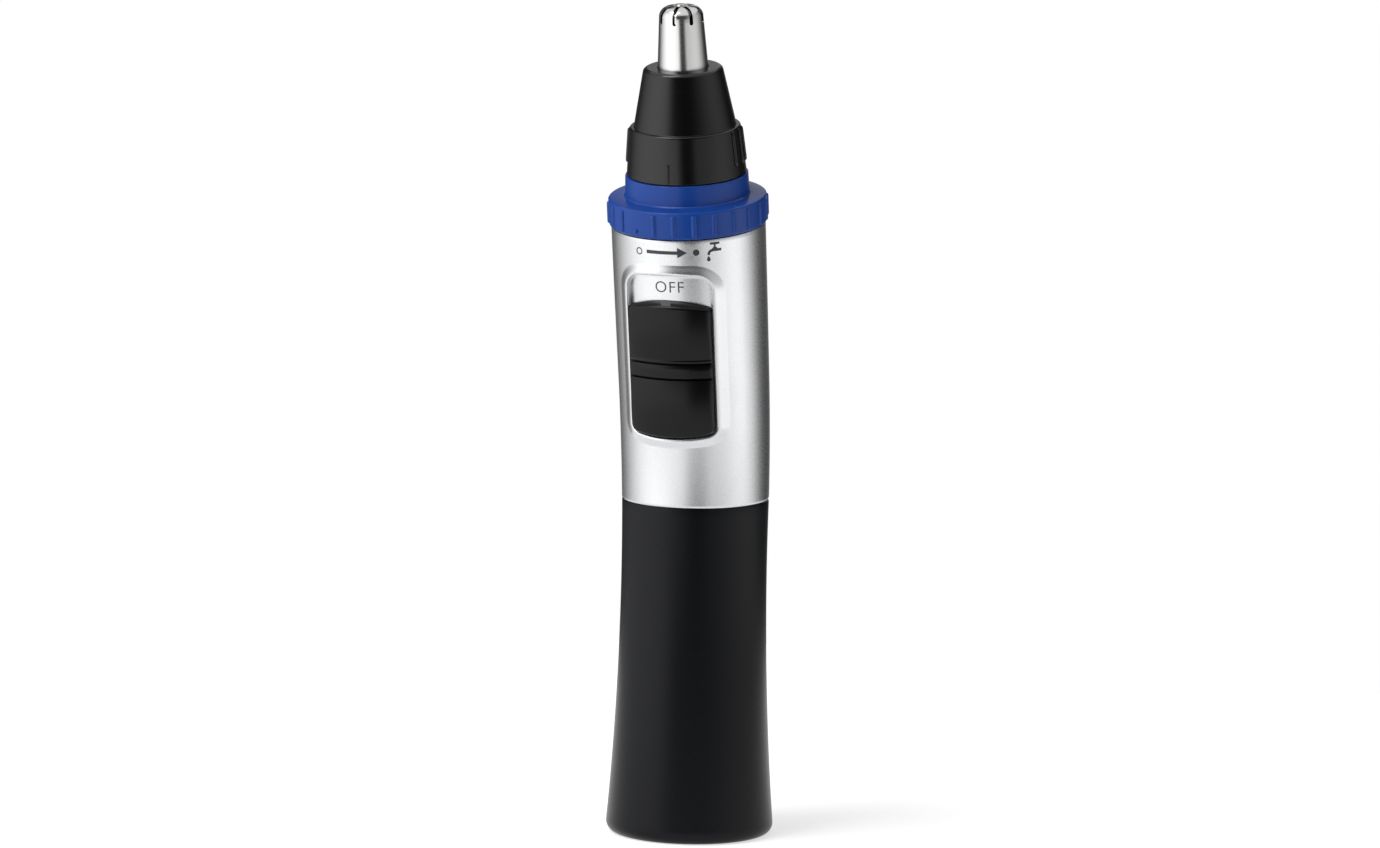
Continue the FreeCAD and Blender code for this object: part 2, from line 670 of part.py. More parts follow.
def chassis():
    """Sleeve for the cell, open at both sides, with the sealed spigot at its head."""
    roof = roof_low_z()
    roof_high = roof + CHASSIS_ROOF
    rim_high = SEAM_Z + PLUG_LENGTH
    sleeve = cylinder(sleeve_radius() + SLEEVE_WALL, SLEEVE_BOTTOM_Z, roof_high)
    spigot = cylinder(spigot_radius(), SPIGOT_LOW_Z, SEAM_Z)
    plug = shell_form(-SHELL_WALL - CHASSIS_FIT, SEAM_Z, rim_high, PLUG_STATIONS, True)
    body = sleeve.fuse([spigot, plug])
    body = body.cut(cylinder(sleeve_radius(), SLEEVE_BOTTOM_Z - 1, roof))
    body = body.cut(cylinder(spigot_radius() - SPIGOT_WALL, roof_high, roof_high + rim_high))
    window = block(2 * COVER_BASE_R, -SLEEVE_WINDOW_WIDTH / 2, SLEEVE_WINDOW_WIDTH / 2,
                   SLEEVE_WINDOW_LOW_Z, SLEEVE_WINDOW_HIGH_Z)
    window = rounded_window(window)
    body = body.cut(window).cut(seal_groove(COVER_SEAL_Z, cover_bore_radius()))
    tail_slot = block(STRIP_WIDTH + 0.4, -positive_tail_y() - 0.2, -positive_tail_y() + 0.5,
                      roof - 1, roof + CHASSIS_ROOF + 1)
    return body.cut(tail_slot).removeSplitter()


def rounded_window(window):
    along_x = [edge for edge in window.Edges if edge.BoundBox.XLength > COVER_BASE_R]
    return window.makeFillet(SLEEVE_WINDOW_WIDTH / 2 - 0.5, along_x)


def seal_middle_radius(bore_radius):
    return bore_radius - SEAL_SQUEEZE_GAP - SEAL_SECTION_R


def seal_groove(height, bore_radius):
    """Square groove that an O-ring lies in."""
    bottom = seal_middle_radius(bore_radius) - SEAL_SECTION_R - PRESS_CLEARANCE
    half = SEAL_SECTION_R + PRESS_CLEARANCE
    return tube(bore_radius + 1, bottom, height - half, height + half)


def cover_seal():
    return o_ring(seal_middle_radius(cover_bore_radius()), COVER_SEAL_Z)


def positive_tail_y():
    return sleeve_radius() - 0.6


def positive_contact():
    """Plate over the cell's nub with a tail that rises to the contact board."""
    low = cell_top_z()
    high = low + CONTACT_THICKNESS
    y = positive_tail_y()
    plate = cylinder(CELL_NUB_R + 0.8, low, high)
    arm = block(STRIP_WIDTH, -y, 0, low, high)
    tail = block(STRIP_WIDTH, -y, -y + CONTACT_THICKNESS, low, axis_point(BOARD_LOW_S)[0].z - 1.0)
    return plate.fuse([arm, tail]).removeSplitter()


def cover_contact():
    """Leaf on the chassis that meets the cover's strip."""
    front = strip_back_y() - CONTACT_THICKNESS - SPIGOT_CLEARANCE
    leaf_low = SPIGOT_LOW_Z - 4.0
    leaf = block(STRIP_WIDTH, front - CONTACT_THICKNESS, front, leaf_low, SPIGOT_LOW_Z)
    foot = block(STRIP_WIDTH, sleeve_radius() + SLEEVE_WALL + PRESS_CLEARANCE, front,
                 SPIGOT_LOW_Z - CONTACT_THICKNESS, SPIGOT_LOW_Z)
    return leaf.fuse(foot).removeSplitter()


# ---------------------------------------------------------------- motor


def motor_section(inset, low, high):
    """Round can with two flats, front and back."""
    half = MOTOR_ACROSS_FLATS / 2 - inset
    return cylinder(MOTOR_R - inset, low, high).common(
        block(2 * MOTOR_R, -half, half, low, high))


def shaft_bore(low, high):
    return cylinder(SHAFT_R + BEARING_CLEARANCE, low, high)


def motor_can():
    can = motor_section(0, MOTOR_LOW_S, MOTOR_HIGH_S)
    can = can.cut(motor_section(MOTOR_WALL, MOTOR_LOW_S - 1, MOTOR_HIGH_S - MOTOR_WALL))
    can = can.fuse(cylinder(MOTOR_BOSS_R, MOTOR_HIGH_S, MOTOR_HIGH_S + MOTOR_BOSS_HEIGHT))
    bore = shaft_bore(MOTOR_HIGH_S - 2, MOTOR_HIGH_S + MOTOR_BOSS_HEIGHT + 1)
    return on_head(can.cut(bore).removeSplitter())


def motor_end_cap():
    low = MOTOR_LOW_S - END_CAP_LENGTH
    cap = motor_section(0, low, MOTOR_LOW_S)
    boss = cylinder(MOTOR_BOSS_R, MOTOR_LOW_S, MOTOR_LOW_S + MOTOR_BOSS_HEIGHT)
    bore = shaft_bore(SHAFT_LOW_S - BEARING_CLEARANCE, MOTOR_LOW_S + MOTOR_BOSS_HEIGHT + 1)
    return on_head(cap.fuse(boss).cut(bore).removeSplitter())


def motor_terminals():
    high = MOTOR_LOW_S - END_CAP_LENGTH
    tabs = [block(1.8, -0.25, 0.25, high - TERMINAL_LENGTH, high, side * TERMINAL_SPACING / 2)
            for side in (-1, 1)]
    return on_head(Part.makeCompound(tabs))


def motor_magnets():
    outer = MOTOR_R - MOTOR_WALL - PRESS_CLEARANCE
    arc = tube(outer, outer - MAGNET_THICKNESS, ARMATURE_LOW_S, ARMATURE_HIGH_S)
    half = MOTOR_ACROSS_FLATS / 2 - MOTOR_WALL - MAGNET_GAP - 1.0
    pair = arc.common(block(2 * MOTOR_R, -half, half, ARMATURE_LOW_S, ARMATURE_HIGH_S))
    return on_head(pair)


def armature():
    core = tube(ARMATURE_R, SHAFT_R + PRESS_CLEARANCE, ARMATURE_LOW_S, ARMATURE_HIGH_S)
    for pole in range(3):
        slot = block(ARMATURE_SLOT, -ARMATURE_R - 1, -ARMATURE_R / 2, ARMATURE_LOW_S - 1,
                     ARMATURE_HIGH_S + 1)
        core = core.cut(turned(slot, 120 * pole))
    return on_head(core)


def motor_shaft():
    return on_head(cylinder(SHAFT_R, SHAFT_LOW_S, SHAFT_HIGH_S))


def motor_cradle():
    """Trough behind the motor, open at the front for the switch."""
    outer = shell_radius(CRADLE_LOW_S) - SHELL_WALL - CRADLE_CLEARANCE
    trough = cylinder(outer, CRADLE_LOW_S, CRADLE_HIGH_S)
    trough = trough.cut(block(4 * MOTOR_R, -20, CRADLE_FRONT_Y, CRADLE_LOW_S, CRADLE_HIGH_S))
    return on_head(trough.cut(motor_section(-CRADLE_CLEARANCE, CRADLE_LOW_S - 1, CRADLE_HIGH_S + 1)))


def board_front_y():
    return MOTOR_ACROSS_FLATS / 2 + PRESS_CLEARANCE + BOARD_THICKNESS


def contact_board():
    front = board_front_y()
    return on_head(block(BOARD_WIDTH, -front, -front + BOARD_THICKNESS, BOARD_LOW_S, BOARD_HIGH_S))


def fixed_contacts():
    """Two strips on the board; the moving contact bridges them."""
    front = board_front_y() + PRESS_CLEARANCE + CONTACT_THICKNESS
    strips = [block(FIXED_CONTACT_WIDTH, -front, -front + CONTACT_THICKNESS, BOARD_LOW_S + 1,
                    BOARD_HIGH_S - 4, side * FIXED_CONTACT_SPACING / 2) for side in (-1, 1)]
    return on_head(Part.makeCompound(strips))


# ---------------------------------------------------------------- neck


def mouth_radius():
    return shell_radius(SHELL_TOP_S) - SHELL_WALL


def neck_collar():
    """Plug in the shell's mouth with the tube that the ring turns on and its snap lip."""
    plug_r = mouth_radius() - COLLAR_FIT
    plug_low = SHELL_TOP_S - COLLAR_PLUG_LENGTH
    seat = SHELL_TOP_S + PRESS_CLEARANCE
    flange_top = seat + COLLAR_FLANGE_HEIGHT
    lip_top = NOZZLE_LOW_S - NOZZLE_GAP
    lip_low = lip_top - COLLAR_LIP_HEIGHT
    web_high = COLLAR_WEB_LOW_S + COLLAR_WEB_THICKNESS
    collar = lathe([
        (SHAFT_SEAL_R + PRESS_CLEARANCE, COLLAR_WEB_LOW_S),
        (COLLAR_BORE_R, COLLAR_WEB_LOW_S),
        (COLLAR_BORE_R, plug_low),
        (plug_r, plug_low),
        (plug_r, seat),
        (COLLAR_FLANGE_R, seat),
        (COLLAR_FLANGE_R, flange_top),
        (COLLAR_TUBE_R, flange_top),
        (COLLAR_TUBE_R, lip_low),
        (COLLAR_LIP_R, lip_low),
        (COLLAR_TUBE_R, lip_top),
        (COLLAR_BORE_R, lip_top),
        (COLLAR_BORE_R, web_high),
        (SHAFT_SEAL_R + PRESS_CLEARANCE, web_high),
    ])
    collar = collar.cut(seal_groove(COLLAR_SEAL_S, mouth_radius()))
    return on_head(collar.cut(stop_groove(seat - 0.01, flange_top + 0.01)))


def stop_groove(low, high):
    """Arc in the flange's edge that the ring's stop runs in, as wide as the ring's turn."""
    room = math.degrees(STOP_CLEARANCE / COLLAR_FLANGE_R)
    start = RING_INDEX_ANGLE + 180 - STOP_HALF_ANGLE - room
    sweep = RING_TURN + 2 * STOP_HALF_ANGLE + 2 * room
    inner = COLLAR_FLANGE_R - STOP_DEPTH
    section = Part.makePolygon([Vector(inner, 0, low), Vector(COLLAR_FLANGE_R + 1, 0, low),
                                Vector(COLLAR_FLANGE_R + 1, 0, high), Vector(inner, 0, high),
                                Vector(inner, 0, low)])
    groove = Part.Face(section).revolve(ORIGIN, Z_AXIS, sweep)
    return turned(groove, start - 90)


def collar_seal():
    return on_head(o_ring(seal_middle_radius(mouth_radius()), COLLAR_SEAL_S))


def shaft_seal():
    """Lip seal in the collar's web, around the motor shaft."""
    low = COLLAR_WEB_LOW_S
    high = low + SHAFT_SEAL_HEIGHT
    lip_r = SHAFT_R + SHAFT_SEAL_CLEARANCE
    return on_head(lathe([
        (lip_r, low + 0.5), (SHAFT_R + 0.8, low), (SHAFT_SEAL_R, low),
        (SHAFT_SEAL_R, low + COLLAR_WEB_THICKNESS), (SHAFT_R + 1.0, high), (lip_r, high)]))


def wash_ring():
    """Ribbed grip band with the neck above it, open below."""
    flange_r = RING_NECK_LOW_R + RING_FOOT_GROOVE
    inner = RING_BAND_R - RING_WALL
    lip_low = NOZZLE_LOW_S - NOZZLE_GAP - COLLAR_LIP_HEIGHT
    shoulder = lip_low - RING_CLEARANCE
    bore = COLLAR_TUBE_R + RING_CLEARANCE
    roof_low = SHELL_TOP_S + PRESS_CLEARANCE + COLLAR_FLANGE_HEIGHT + RING_CLEARANCE
    ring = lathe([
        (inner, RING_LOW_S),
        (RING_BAND_R, RING_LOW_S),
        (RING_BAND_R, RING_HIGH_S),
        (flange_r, RING_NECK_FOOT_S - RING_FOOT_GROOVE),
        (RING_NECK_LOW_R, RING_NECK_FOOT_S - RING_FOOT_GROOVE),
        (RING_NECK_LOW_R, RING_NECK_FOOT_S),
        (RING_NECK_HIGH_R, RING_NECK_HIGH_S),
        (COLLAR_LIP_R + RING_CLEARANCE, RING_NECK_HIGH_S),
        (COLLAR_LIP_R + RING_CLEARANCE, shoulder),
        (bore, shoulder),
        (bore, roof_low),
        (inner, roof_low),
    ])
    ring = rounded(ring, RING_EDGE_ROUND, [RING_LOW_S, RING_HIGH_S])
    ring = ring.fuse(grip_band() + [index_bump(), ring_stop(inner)])
    return on_head(ring.removeSplitter())


def grip_band():
    """Ribs all round the band except at the index mark."""
    rib_low = RING_LOW_S + RING_EDGE_ROUND
    rib_high = RING_HIGH_S - RING_EDGE_ROUND
    ribs = []
    for number in range(1, RING_RIBS):
        angle = RING_INDEX_ANGLE + 360.0 * number / RING_RIBS
        rib = cylinder(RING_RIB_WIDTH / 2, rib_low, rib_high)
        rib.translate(Vector(0, -(RING_RIB_R - RING_RIB_WIDTH / 2), 0))
        ribs.append(turned(rib, angle))
    return ribs


def index_bump():
    bump = Part.makeSphere(INDEX_BUMP_R, Vector(0, -RING_BAND_R, RING_LOW_S + 1.0))
    return turned(bump, RING_INDEX_ANGLE)


def ring_stop(inner):
    """Small tooth inside the band that runs in the collar's stop groove."""
    low = SHELL_TOP_S + PRESS_CLEARANCE + STOP_CLEARANCE
    high = low + COLLAR_FLANGE_HEIGHT
    half = math.radians(STOP_HALF_ANGLE) * COLLAR_FLANGE_R
    reach = COLLAR_FLANGE_R - STOP_DEPTH + RING_CLEARANCE
    tooth = block(2 * half, -inner - 0.2, -reach, low, high)
    return turned(tooth, RING_INDEX_ANGLE + 180)


# ---------------------------------------------------------------- nozzle and tip


def skirt_radius(s):
    share = (s - NOZZLE_LOW_S) / (STEP_S - NOZZLE_LOW_S)
    return SKIRT_LOW_R + (SKIRT_HIGH_R - SKIRT_LOW_R) * share


def nozzle():
    """Stepped cone that carries the tip, with a spigot that plugs into the collar."""
    spigot_r = COLLAR_BORE_R - NOZZLE_SPIGOT_FIT
    spigot_inner = spigot_r - NOZZLE_SPIGOT_WALL
    roof = CONE_HIGH_S - NOZZLE_ROOF
    seat_r = TIP_FLANGE_R + TIP_FIT
    flange_low = roof - TIP_FLANGE - RETAINER_HEIGHT
    cavity_low = NOZZLE_LOW_S + NOZZLE_SPIGOT_WALL
    body = lathe([
        (spigot_inner, NOZZLE_SPIGOT_LOW_S),
        (spigot_r, NOZZLE_SPIGOT_LOW_S),
        (spigot_r, NOZZLE_LOW_S),
        (SKIRT_LOW_R, NOZZLE_LOW_S),
        (SKIRT_HIGH_R, STEP_S),
        (CONE_LOW_R, STEP_S),
        (CONE_HIGH_R, CONE_HIGH_S),
        (TIP_LOW_R + TIP_FIT, CONE_HIGH_S),
        (TIP_LOW_R + TIP_FIT, roof),
        (seat_r, roof),
        (seat_r, flange_low),
        (SKIRT_HIGH_R - 2 * NOZZLE_WALL, STEP_S - NOZZLE_WALL),
        (spigot_inner, cavity_low),
    ])
    body = round_edges_at(body, STEP_ROUND, SKIRT_HIGH_R, STEP_S)
    body = round_edges_at(body, SHOULDER_ROUND, CONE_HIGH_R, CONE_HIGH_S)
    body = body.fuse(grip_ribs() + [front_rib()]).removeSplitter()
    return on_head(body.cut(seal_groove(NOZZLE_SEAL_S, COLLAR_BORE_R)))


def round_edges_at(shape, radius, edge_radius, height):
    edges = [edge for edge in shape.Edges
             if abs(edge.BoundBox.ZMin - height) < 0.01 and abs(edge.BoundBox.ZMax - height) < 0.01
             and abs(edge.Length - 2 * math.pi * edge_radius) < 0.05]
    return shape.makeFillet(radius, edges)


def skirt_rib(width, proud, low, high, angle):
    """Round-backed rib that follows the skirt's slope."""
    length = high - low
    foot = skirt_radius(low)
    lean = math.degrees(math.atan2(foot - skirt_radius(high), length))
    rib = cylinder(width / 2, 0, length)
    rib = rib.fuse(Part.makeSphere(width / 2, Vector(0, 0, length)))
    rib.rotate(ORIGIN, Vector(1, 0, 0), -lean)
    rib.translate(Vector(0, -(foot + proud - width / 2), low))
    return turned(rib, angle)


def grip_ribs():
    ribs = []
    high = STEP_S - GRIP_RIB_WIDTH / 2
    for side in (-90.0, 90.0):
        for number in range(GRIP_RIBS):
            angle = side + (number - (GRIP_RIBS - 1) / 2) * GRIP_RIB_PITCH
            ribs.append(skirt_rib(GRIP_RIB_WIDTH, GRIP_RIB_PROUD, GRIP_RIB_LOW_S, high, angle))
    return ribs


def front_rib():
    low = NOZZLE_LOW_S + 0.05
    high = FRONT_RIB_HIGH_S - FRONT_RIB_WIDTH / 2
    return skirt_rib(FRONT_RIB_WIDTH, FRONT_RIB_PROUD, low, high, 0)


def nozzle_seal():
    return on_head(o_ring(seal_middle_radius(COLLAR_BORE_R), NOZZLE_SEAL_S))


def outer_blade():
    """Thin domed steel cap with radial slots, flanged where the nozzle holds it."""
    roof = CONE_HIGH_S - NOZZLE_ROOF
    flange_low = roof - TIP_FLANGE
    cap = tip_form(0, flange_low)
    cap = cap.fuse(cylinder(TIP_FLANGE_R, flange_low, roof - PRESS_CLEARANCE))
    cap = cap.cut(tip_form(TIP_WALL, flange_low - 1))
    cap = cap.fuse(cylinder(HUB_R, TIP_TOP_S - TIP_WALL, TIP_TOP_S + HUB_PROUD))
    for number in range(SLOT_COUNT):
        cap = cap.cut(turned(tip_slot(), 360.0 * number / SLOT_COUNT))
    return on_head(cap.removeSplitter())


def tip_slot():
    """Slot from near the hub over the shoulder and down the side, with round ends."""
    half = SLOT_WIDTH / 2
    low = SLOT_LOW_S + half
    slot = block(SLOT_WIDTH, -TIP_LOW_R - 1, -SLOT_INNER_R - half, low, TIP_TOP_S + 1)
    foot = Part.makeCylinder(half, TIP_LOW_R + 1 - SLOT_INNER_R - half,
                             Vector(0, -TIP_LOW_R - 1, low), Vector(0, 1, 0))
    inner_end = Part.makeCylinder(half, TIP_TOP_S + 1 - low, Vector(0, -SLOT_INNER_R - half, low))
    return slot.fuse([foot, inner_end])


def blade_retainer():
    """Ring that holds the outer blade's flange against the nozzle's roof."""
    high = CONE_HIGH_S - NOZZLE_ROOF - TIP_FLANGE - PRESS_CLEARANCE
    return on_head(tube(TIP_FLANGE_R + TIP_FIT - PRESS_CLEARANCE, RETAINER_R_IN,
                        high - RETAINER_HEIGHT, high))


# ---------------------------------------------------------------- cutter


def drive_spindle():
    """Plastic spindle pressed on the motor shaft, square at its upper end."""
    spindle = lathe([
        (0, SPINDLE_LOW_S),
        (SPINDLE_HUB_R, SPINDLE_LOW_S),
        (SPINDLE_HUB_R, SPINDLE_HUB_HIGH_S),
        (SPINDLE_R, SPINDLE_HUB_HIGH_S + SPINDLE_HUB_R - SPINDLE_R),
        (SPINDLE_R, SPINDLE_HIGH_S),
        (0, SPINDLE_HIGH_S),
    ])
    collar = tube(SPRING_COLLAR_R, SPINDLE_R - 0.1, BLADE_SPRING_LOW_S - SPRING_COLLAR_HEIGHT,
                  BLADE_SPRING_LOW_S)
    spindle = spindle.fuse(collar)
    square = drive_square(0, HOLDER_LOW_S, SPINDLE_HIGH_S)
    upper = cylinder(SPINDLE_R + 1, HOLDER_LOW_S, SPINDLE_HIGH_S + 1).cut(square)
    spindle = spindle.cut(upper)
    bore = cylinder(SHAFT_R + PRESS_CLEARANCE, SPINDLE_LOW_S - 1, SHAFT_HIGH_S + PRESS_CLEARANCE)
    return on_head(spindle.cut(bore).removeSplitter())


def drive_square(grow, low, high):
    size = SPINDLE_R * math.sqrt(2) + 2 * grow
    return block(size, -size / 2, size / 2, low, high)


def blade_spring():
    high = HOLDER_LOW_S
    return on_head(coil(BLADE_SPRING_R, BLADE_SPRING_R, BLADE_SPRING_LOW_S, high,
                        BLADE_SPRING_TURNS, BLADE_SPRING_WIRE_R))


def blade_holder():
    """Socket that slides on the spindle's square and carries the inner blade."""
    holder = cylinder(HOLDER_R, HOLDER_LOW_S, HOLDER_HIGH_S)
    return on_head(holder.cut(drive_square(PRESS_CLEARANCE * 2, HOLDER_LOW_S - 1,
                                           SPINDLE_HIGH_S + 0.4)))


def inner_blade():
    """Crossed blades whose edges follow the inside of the tip's dome."""
    form = tip_form(TIP_WALL + BLADE_GAP, BLADE_LOW_S)
    far = 2 * TIP_LOW_R
    wall = block(BLADE_THICKNESS, -far, far, HOLDER_HIGH_S, TIP_TOP_S)
    cross = wall.fuse(turned(wall, 90))
    disc = cylinder(HOLDER_R, HOLDER_HIGH_S, HOLDER_HIGH_S + BLADE_THICKNESS)
    return on_head(form.common(cross).fuse(disc).removeSplitter())


# ---------------------------------------------------------------- output

PIECES = {
    "battery_cover": battery_cover,
    "cover_spring": cover_spring,
    "negative_strip": negative_strip,
    "upper_shell": upper_shell,
    "switch_knob": switch_knob,
    "switch_slider": switch_slider,
    "moving_contact": moving_contact,
    "battery_cell": battery_cell,
    "chassis": chassis,
    "cover_seal": cover_seal,
    "positive_contact": positive_contact,
    "cover_contact": cover_contact,
    "motor_can": motor_can,
    "motor_end_cap": motor_end_cap,
    "motor_terminals": motor_terminals,
    "motor_magnets": motor_magnets,
    "armature": armature,
    "motor_shaft": motor_shaft,
    "motor_cradle": motor_cradle,
    "contact_board": contact_board,
    "fixed_contacts": fixed_contacts,
    "neck_collar": neck_collar,
    "collar_seal": collar_seal,
    "shaft_seal": shaft_seal,
    "wash_ring": wash_ring,
    "nozzle": nozzle,
    "nozzle_seal": nozzle_seal,
    "outer_blade": outer_blade,
    "blade_retainer": blade_retainer,
    "drive_spindle": drive_spindle,
    "blade_spring": blade_spring,
    "blade_holder": blade_holder,
    "inner_blade": inner_blade,
}


def main():
    os.makedirs("parts", exist_ok=True)
    for name, make in PIECES.items():
        shape = make()
        shape.exportStep(os.path.join("parts", name + ".step"))
        print(name, "valid" if shape.isValid() else "NOT VALID", len(shape.Solids), "solid(s)",
              round(shape.Volume, 2), "mm3")


if __name__ == "__main__":
    main()
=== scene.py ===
import json
import math

import bmesh
import bpy
from mathutils import Matrix, Vector, geometry


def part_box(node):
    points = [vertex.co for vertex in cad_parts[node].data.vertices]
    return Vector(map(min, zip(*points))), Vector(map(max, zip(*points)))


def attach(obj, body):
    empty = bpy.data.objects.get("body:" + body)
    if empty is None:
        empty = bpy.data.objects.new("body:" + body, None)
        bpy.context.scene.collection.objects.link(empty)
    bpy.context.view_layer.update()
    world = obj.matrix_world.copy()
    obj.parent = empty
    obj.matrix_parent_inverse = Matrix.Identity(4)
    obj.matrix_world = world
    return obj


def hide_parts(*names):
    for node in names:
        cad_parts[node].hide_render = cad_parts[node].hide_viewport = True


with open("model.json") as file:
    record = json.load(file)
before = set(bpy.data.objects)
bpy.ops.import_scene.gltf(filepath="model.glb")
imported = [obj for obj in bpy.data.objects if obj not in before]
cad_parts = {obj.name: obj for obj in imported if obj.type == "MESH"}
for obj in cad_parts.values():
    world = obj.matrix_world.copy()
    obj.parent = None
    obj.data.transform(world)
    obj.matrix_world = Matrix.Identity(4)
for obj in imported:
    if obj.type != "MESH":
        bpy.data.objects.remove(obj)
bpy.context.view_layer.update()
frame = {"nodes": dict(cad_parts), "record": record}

bl_info = {
    "name": "Nose hair trimmer looks",
    "version": (1, 0, 0),
    "blender": (4, 5, 0),
    "location": "View3D > Sidebar > Trimmer",
    "description": "Mouldings, blade, marks, finishes and studio of a battery nose hair trimmer",
    "category": "Object",
}

MM = 0.001
QUARTER_TURN = math.pi / 2
FULL_TURN = 2 * math.pi
SHARP = 38.0    # degrees; edges that bend more stay sharp


def spread(low, high, count):
    """Evenly spaced values from low to high."""
    return [low + (high - low) * number / (count - 1) for number in range(count)]


# ---------------------------------------------------------------- the frame's centre line


def joint_of(name):
    """Joint of the record by its name."""
    return next(joint for joint in frame["record"]["behaviour"]["joints"] if joint["name"] == name)


HEAD_JOINT = joint_of("cutter_spin")
HEAD_AXIS = Vector(HEAD_JOINT["axis"])
BEND_END = Vector(HEAD_JOINT["pos_m"])
PARTING = 0.16 * MM
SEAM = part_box("upper_shell")[0].z - PARTING / 2
HEAD_LEAN = math.atan2(-HEAD_AXIS.y, HEAD_AXIS.z)
START_LEAN = 2 * math.atan2(-BEND_END.y, BEND_END.z - SEAM) - HEAD_LEAN
BEND_RADIUS = (BEND_END.z - SEAM) / (math.sin(HEAD_LEAN) - math.sin(START_LEAN))
BEND_END_S = SEAM + BEND_RADIUS * (HEAD_LEAN - START_LEAN)
HEAD = (Matrix.Translation(BEND_END) @ Matrix.Rotation(HEAD_LEAN, 4, "X")
        @ Matrix.Translation((0, 0, -BEND_END_S)))
HEAD_BACK = HEAD.inverted()


def centre_line(s):
    """Point on the centre line and its lean, at distance s from the base."""
    if s <= SEAM:
        return Vector((0, 0, s)), START_LEAN
    bent = min(s, BEND_END_S) - SEAM
    lean = START_LEAN + bent / BEND_RADIUS
    y = BEND_RADIUS * (math.cos(lean) - math.cos(START_LEAN))
    z = SEAM + BEND_RADIUS * (math.sin(lean) - math.sin(START_LEAN))
    straight = max(0.0, s - BEND_END_S)
    return Vector((0, y - straight * math.sin(lean), z + straight * math.cos(lean))), lean


# ---------------------------------------------------------------- sizes and colours


def length(name, description, default):
    """Length property; its default is in millimetres."""
    return bpy.props.FloatProperty(name=name, description=description, default=default * MM,
                                   unit="LENGTH", precision=5)


def colour(name, description, default):
    """Colour property in linear red, green and blue."""
    return bpy.props.FloatVectorProperty(name=name, description=description, default=default,
                                         size=3, min=0.0, max=1.0, subtype="COLOR")


class TrimmerSizes(bpy.types.PropertyGroup):
    """Sizes that the visible mouldings are made from"""

    shell_low_r: length("Shell radius at the seam", "Radius of the upper shell at the seam", 11.95)
    shell_high_r: length("Shell radius at the top", "Radius of the upper shell under the ring", 12.42)
    shell_top: length("Shell top", "Top edge of the shell along the centre line", 100.9)
    window_low: length("Window lower edge", "Lower edge of the switch window", 68.8)
    window_high: length("Window upper edge", "Upper edge of the switch window", 94.7)
    window_half: length("Window half width", "Half the width of the switch window", 7.15)
    window_depth: length("Window depth", "Depth of the recess that the slide runs in", 0.35)
    rim_height: length("Rim height", "Height of the raised rim round the window", 0.52)
    rim_crest: length("Rim crest", "Width of the rim's crest", 0.46)
    rim_width: length("Rim width", "Width of the rim with its slope", 1.6)
    low_corner: length("Lower corners", "Rounding of the window's lower corners", 1.15)
    high_corner: length("Upper corners", "Rounding of the window's upper corners", 2.3)
    low_bow: length("Lower bow", "Bow of the window's lower edge", 0.65)
    high_bow: length("Upper bow", "Bow of the window's upper edge", 0.55)
    knob_bow: length("Slide bow", "Bow of the slide's upper end", 1.35)
    knob_corner: length("Slide corners", "Rounding of the slide's upper corners", 0.6)
    knob_lens: length("Slide bevel", "Height of the bevel at the slide's upper end", 0.75)
    knob_crest_r: length("Slide crest", "Radius of the slide's lobes about the head", 13.35)
    knob_band_r: length("Slide band", "Radius of the raised finger band", 13.05)
    knob_curve: length("Slide curve", "Radius of the slide's bulge across its width", 15.6)
    band_r: length("Ring radius", "Radius of the wash ring's grip band", 12.72)
    rib_r: length("Ring rib radius", "Radius of the wash ring's ribs", 13.03)
    rib_width: length("Ring rib back", "Diameter of the rounded back of a rib on the ring", 1.10)
    slot_width: length("Slot width", "Width of a slot in the tip", 0.64)
    slot_low: length("Slot foot", "Where the tip's slots begin, along the centre line", 133.8)
    rib_count: bpy.props.IntProperty(name="Ring ribs", description="Rib places round the wash ring",
                                     default=24, min=6, max=60)
    slot_count: bpy.props.IntProperty(name="Tip slots", description="Slots in the tip",
                                      default=8, min=3, max=16)


class TrimmerFinishes(bpy.types.PropertyGroup):
    """Colours of the visible finishes"""

    silver: colour("Silver", "Satin silver paint of the upper shell", (0.62, 0.625, 0.635))
    black: colour("Black", "Soft black of the battery cover", (0.0019, 0.0024, 0.0040))
    slide: colour("Slide black", "Black of the thumb slide", (0.0015, 0.0015, 0.0018))
    blue: colour("Blue", "Blue of the wash ring", (0.011, 0.059, 0.31))
    nozzle: colour("Nozzle black", "Black of the nozzle", (0.0012, 0.0012, 0.0014))
    steel: colour("Steel", "Polished steel of the tip", (0.60, 0.595, 0.59))
    ink: colour("Ink", "Printed marks", (0.030, 0.031, 0.034))


def sizes():
    """The scene's sizes."""
    return bpy.context.scene.trimmer_sizes


def finishes():
    """The scene's colours."""
    return bpy.context.scene.trimmer_finishes


# ---------------------------------------------------------------- finishes


def add_node(tree, kind, inputs=None, **settings):
    """New node; each input is a value or another node's output."""
    node = tree.nodes.new(kind)
    for key, value in settings.items():
        setattr(node, key, value)
    for key, value in (inputs or {}).items():
        if isinstance(value, bpy.types.NodeSocket):
            tree.links.new(value, node.inputs[key])
        else:
            node.inputs[key].default_value = value
    return node


def ramp(tree, fac, stops, interpolation="EASE"):
    """Colour ramp with (place, grey or colour) stops."""
    node = add_node(tree, "ShaderNodeValToRGB", {"Fac": fac})
    band = node.color_ramp
    band.interpolation = interpolation
    while len(band.elements) < len(stops):
        band.elements.new(1.0)
    for element, (place, value) in zip(band.elements, stops):
        element.position = place
        element.color = (*value, 1) if hasattr(value, "__len__") else (value, value, value, 1)
    return node.outputs["Color"]


def scaled(tint, share):
    """A tint made lighter or darker."""
    return tuple(min(1.0, channel * share) for channel in tint)


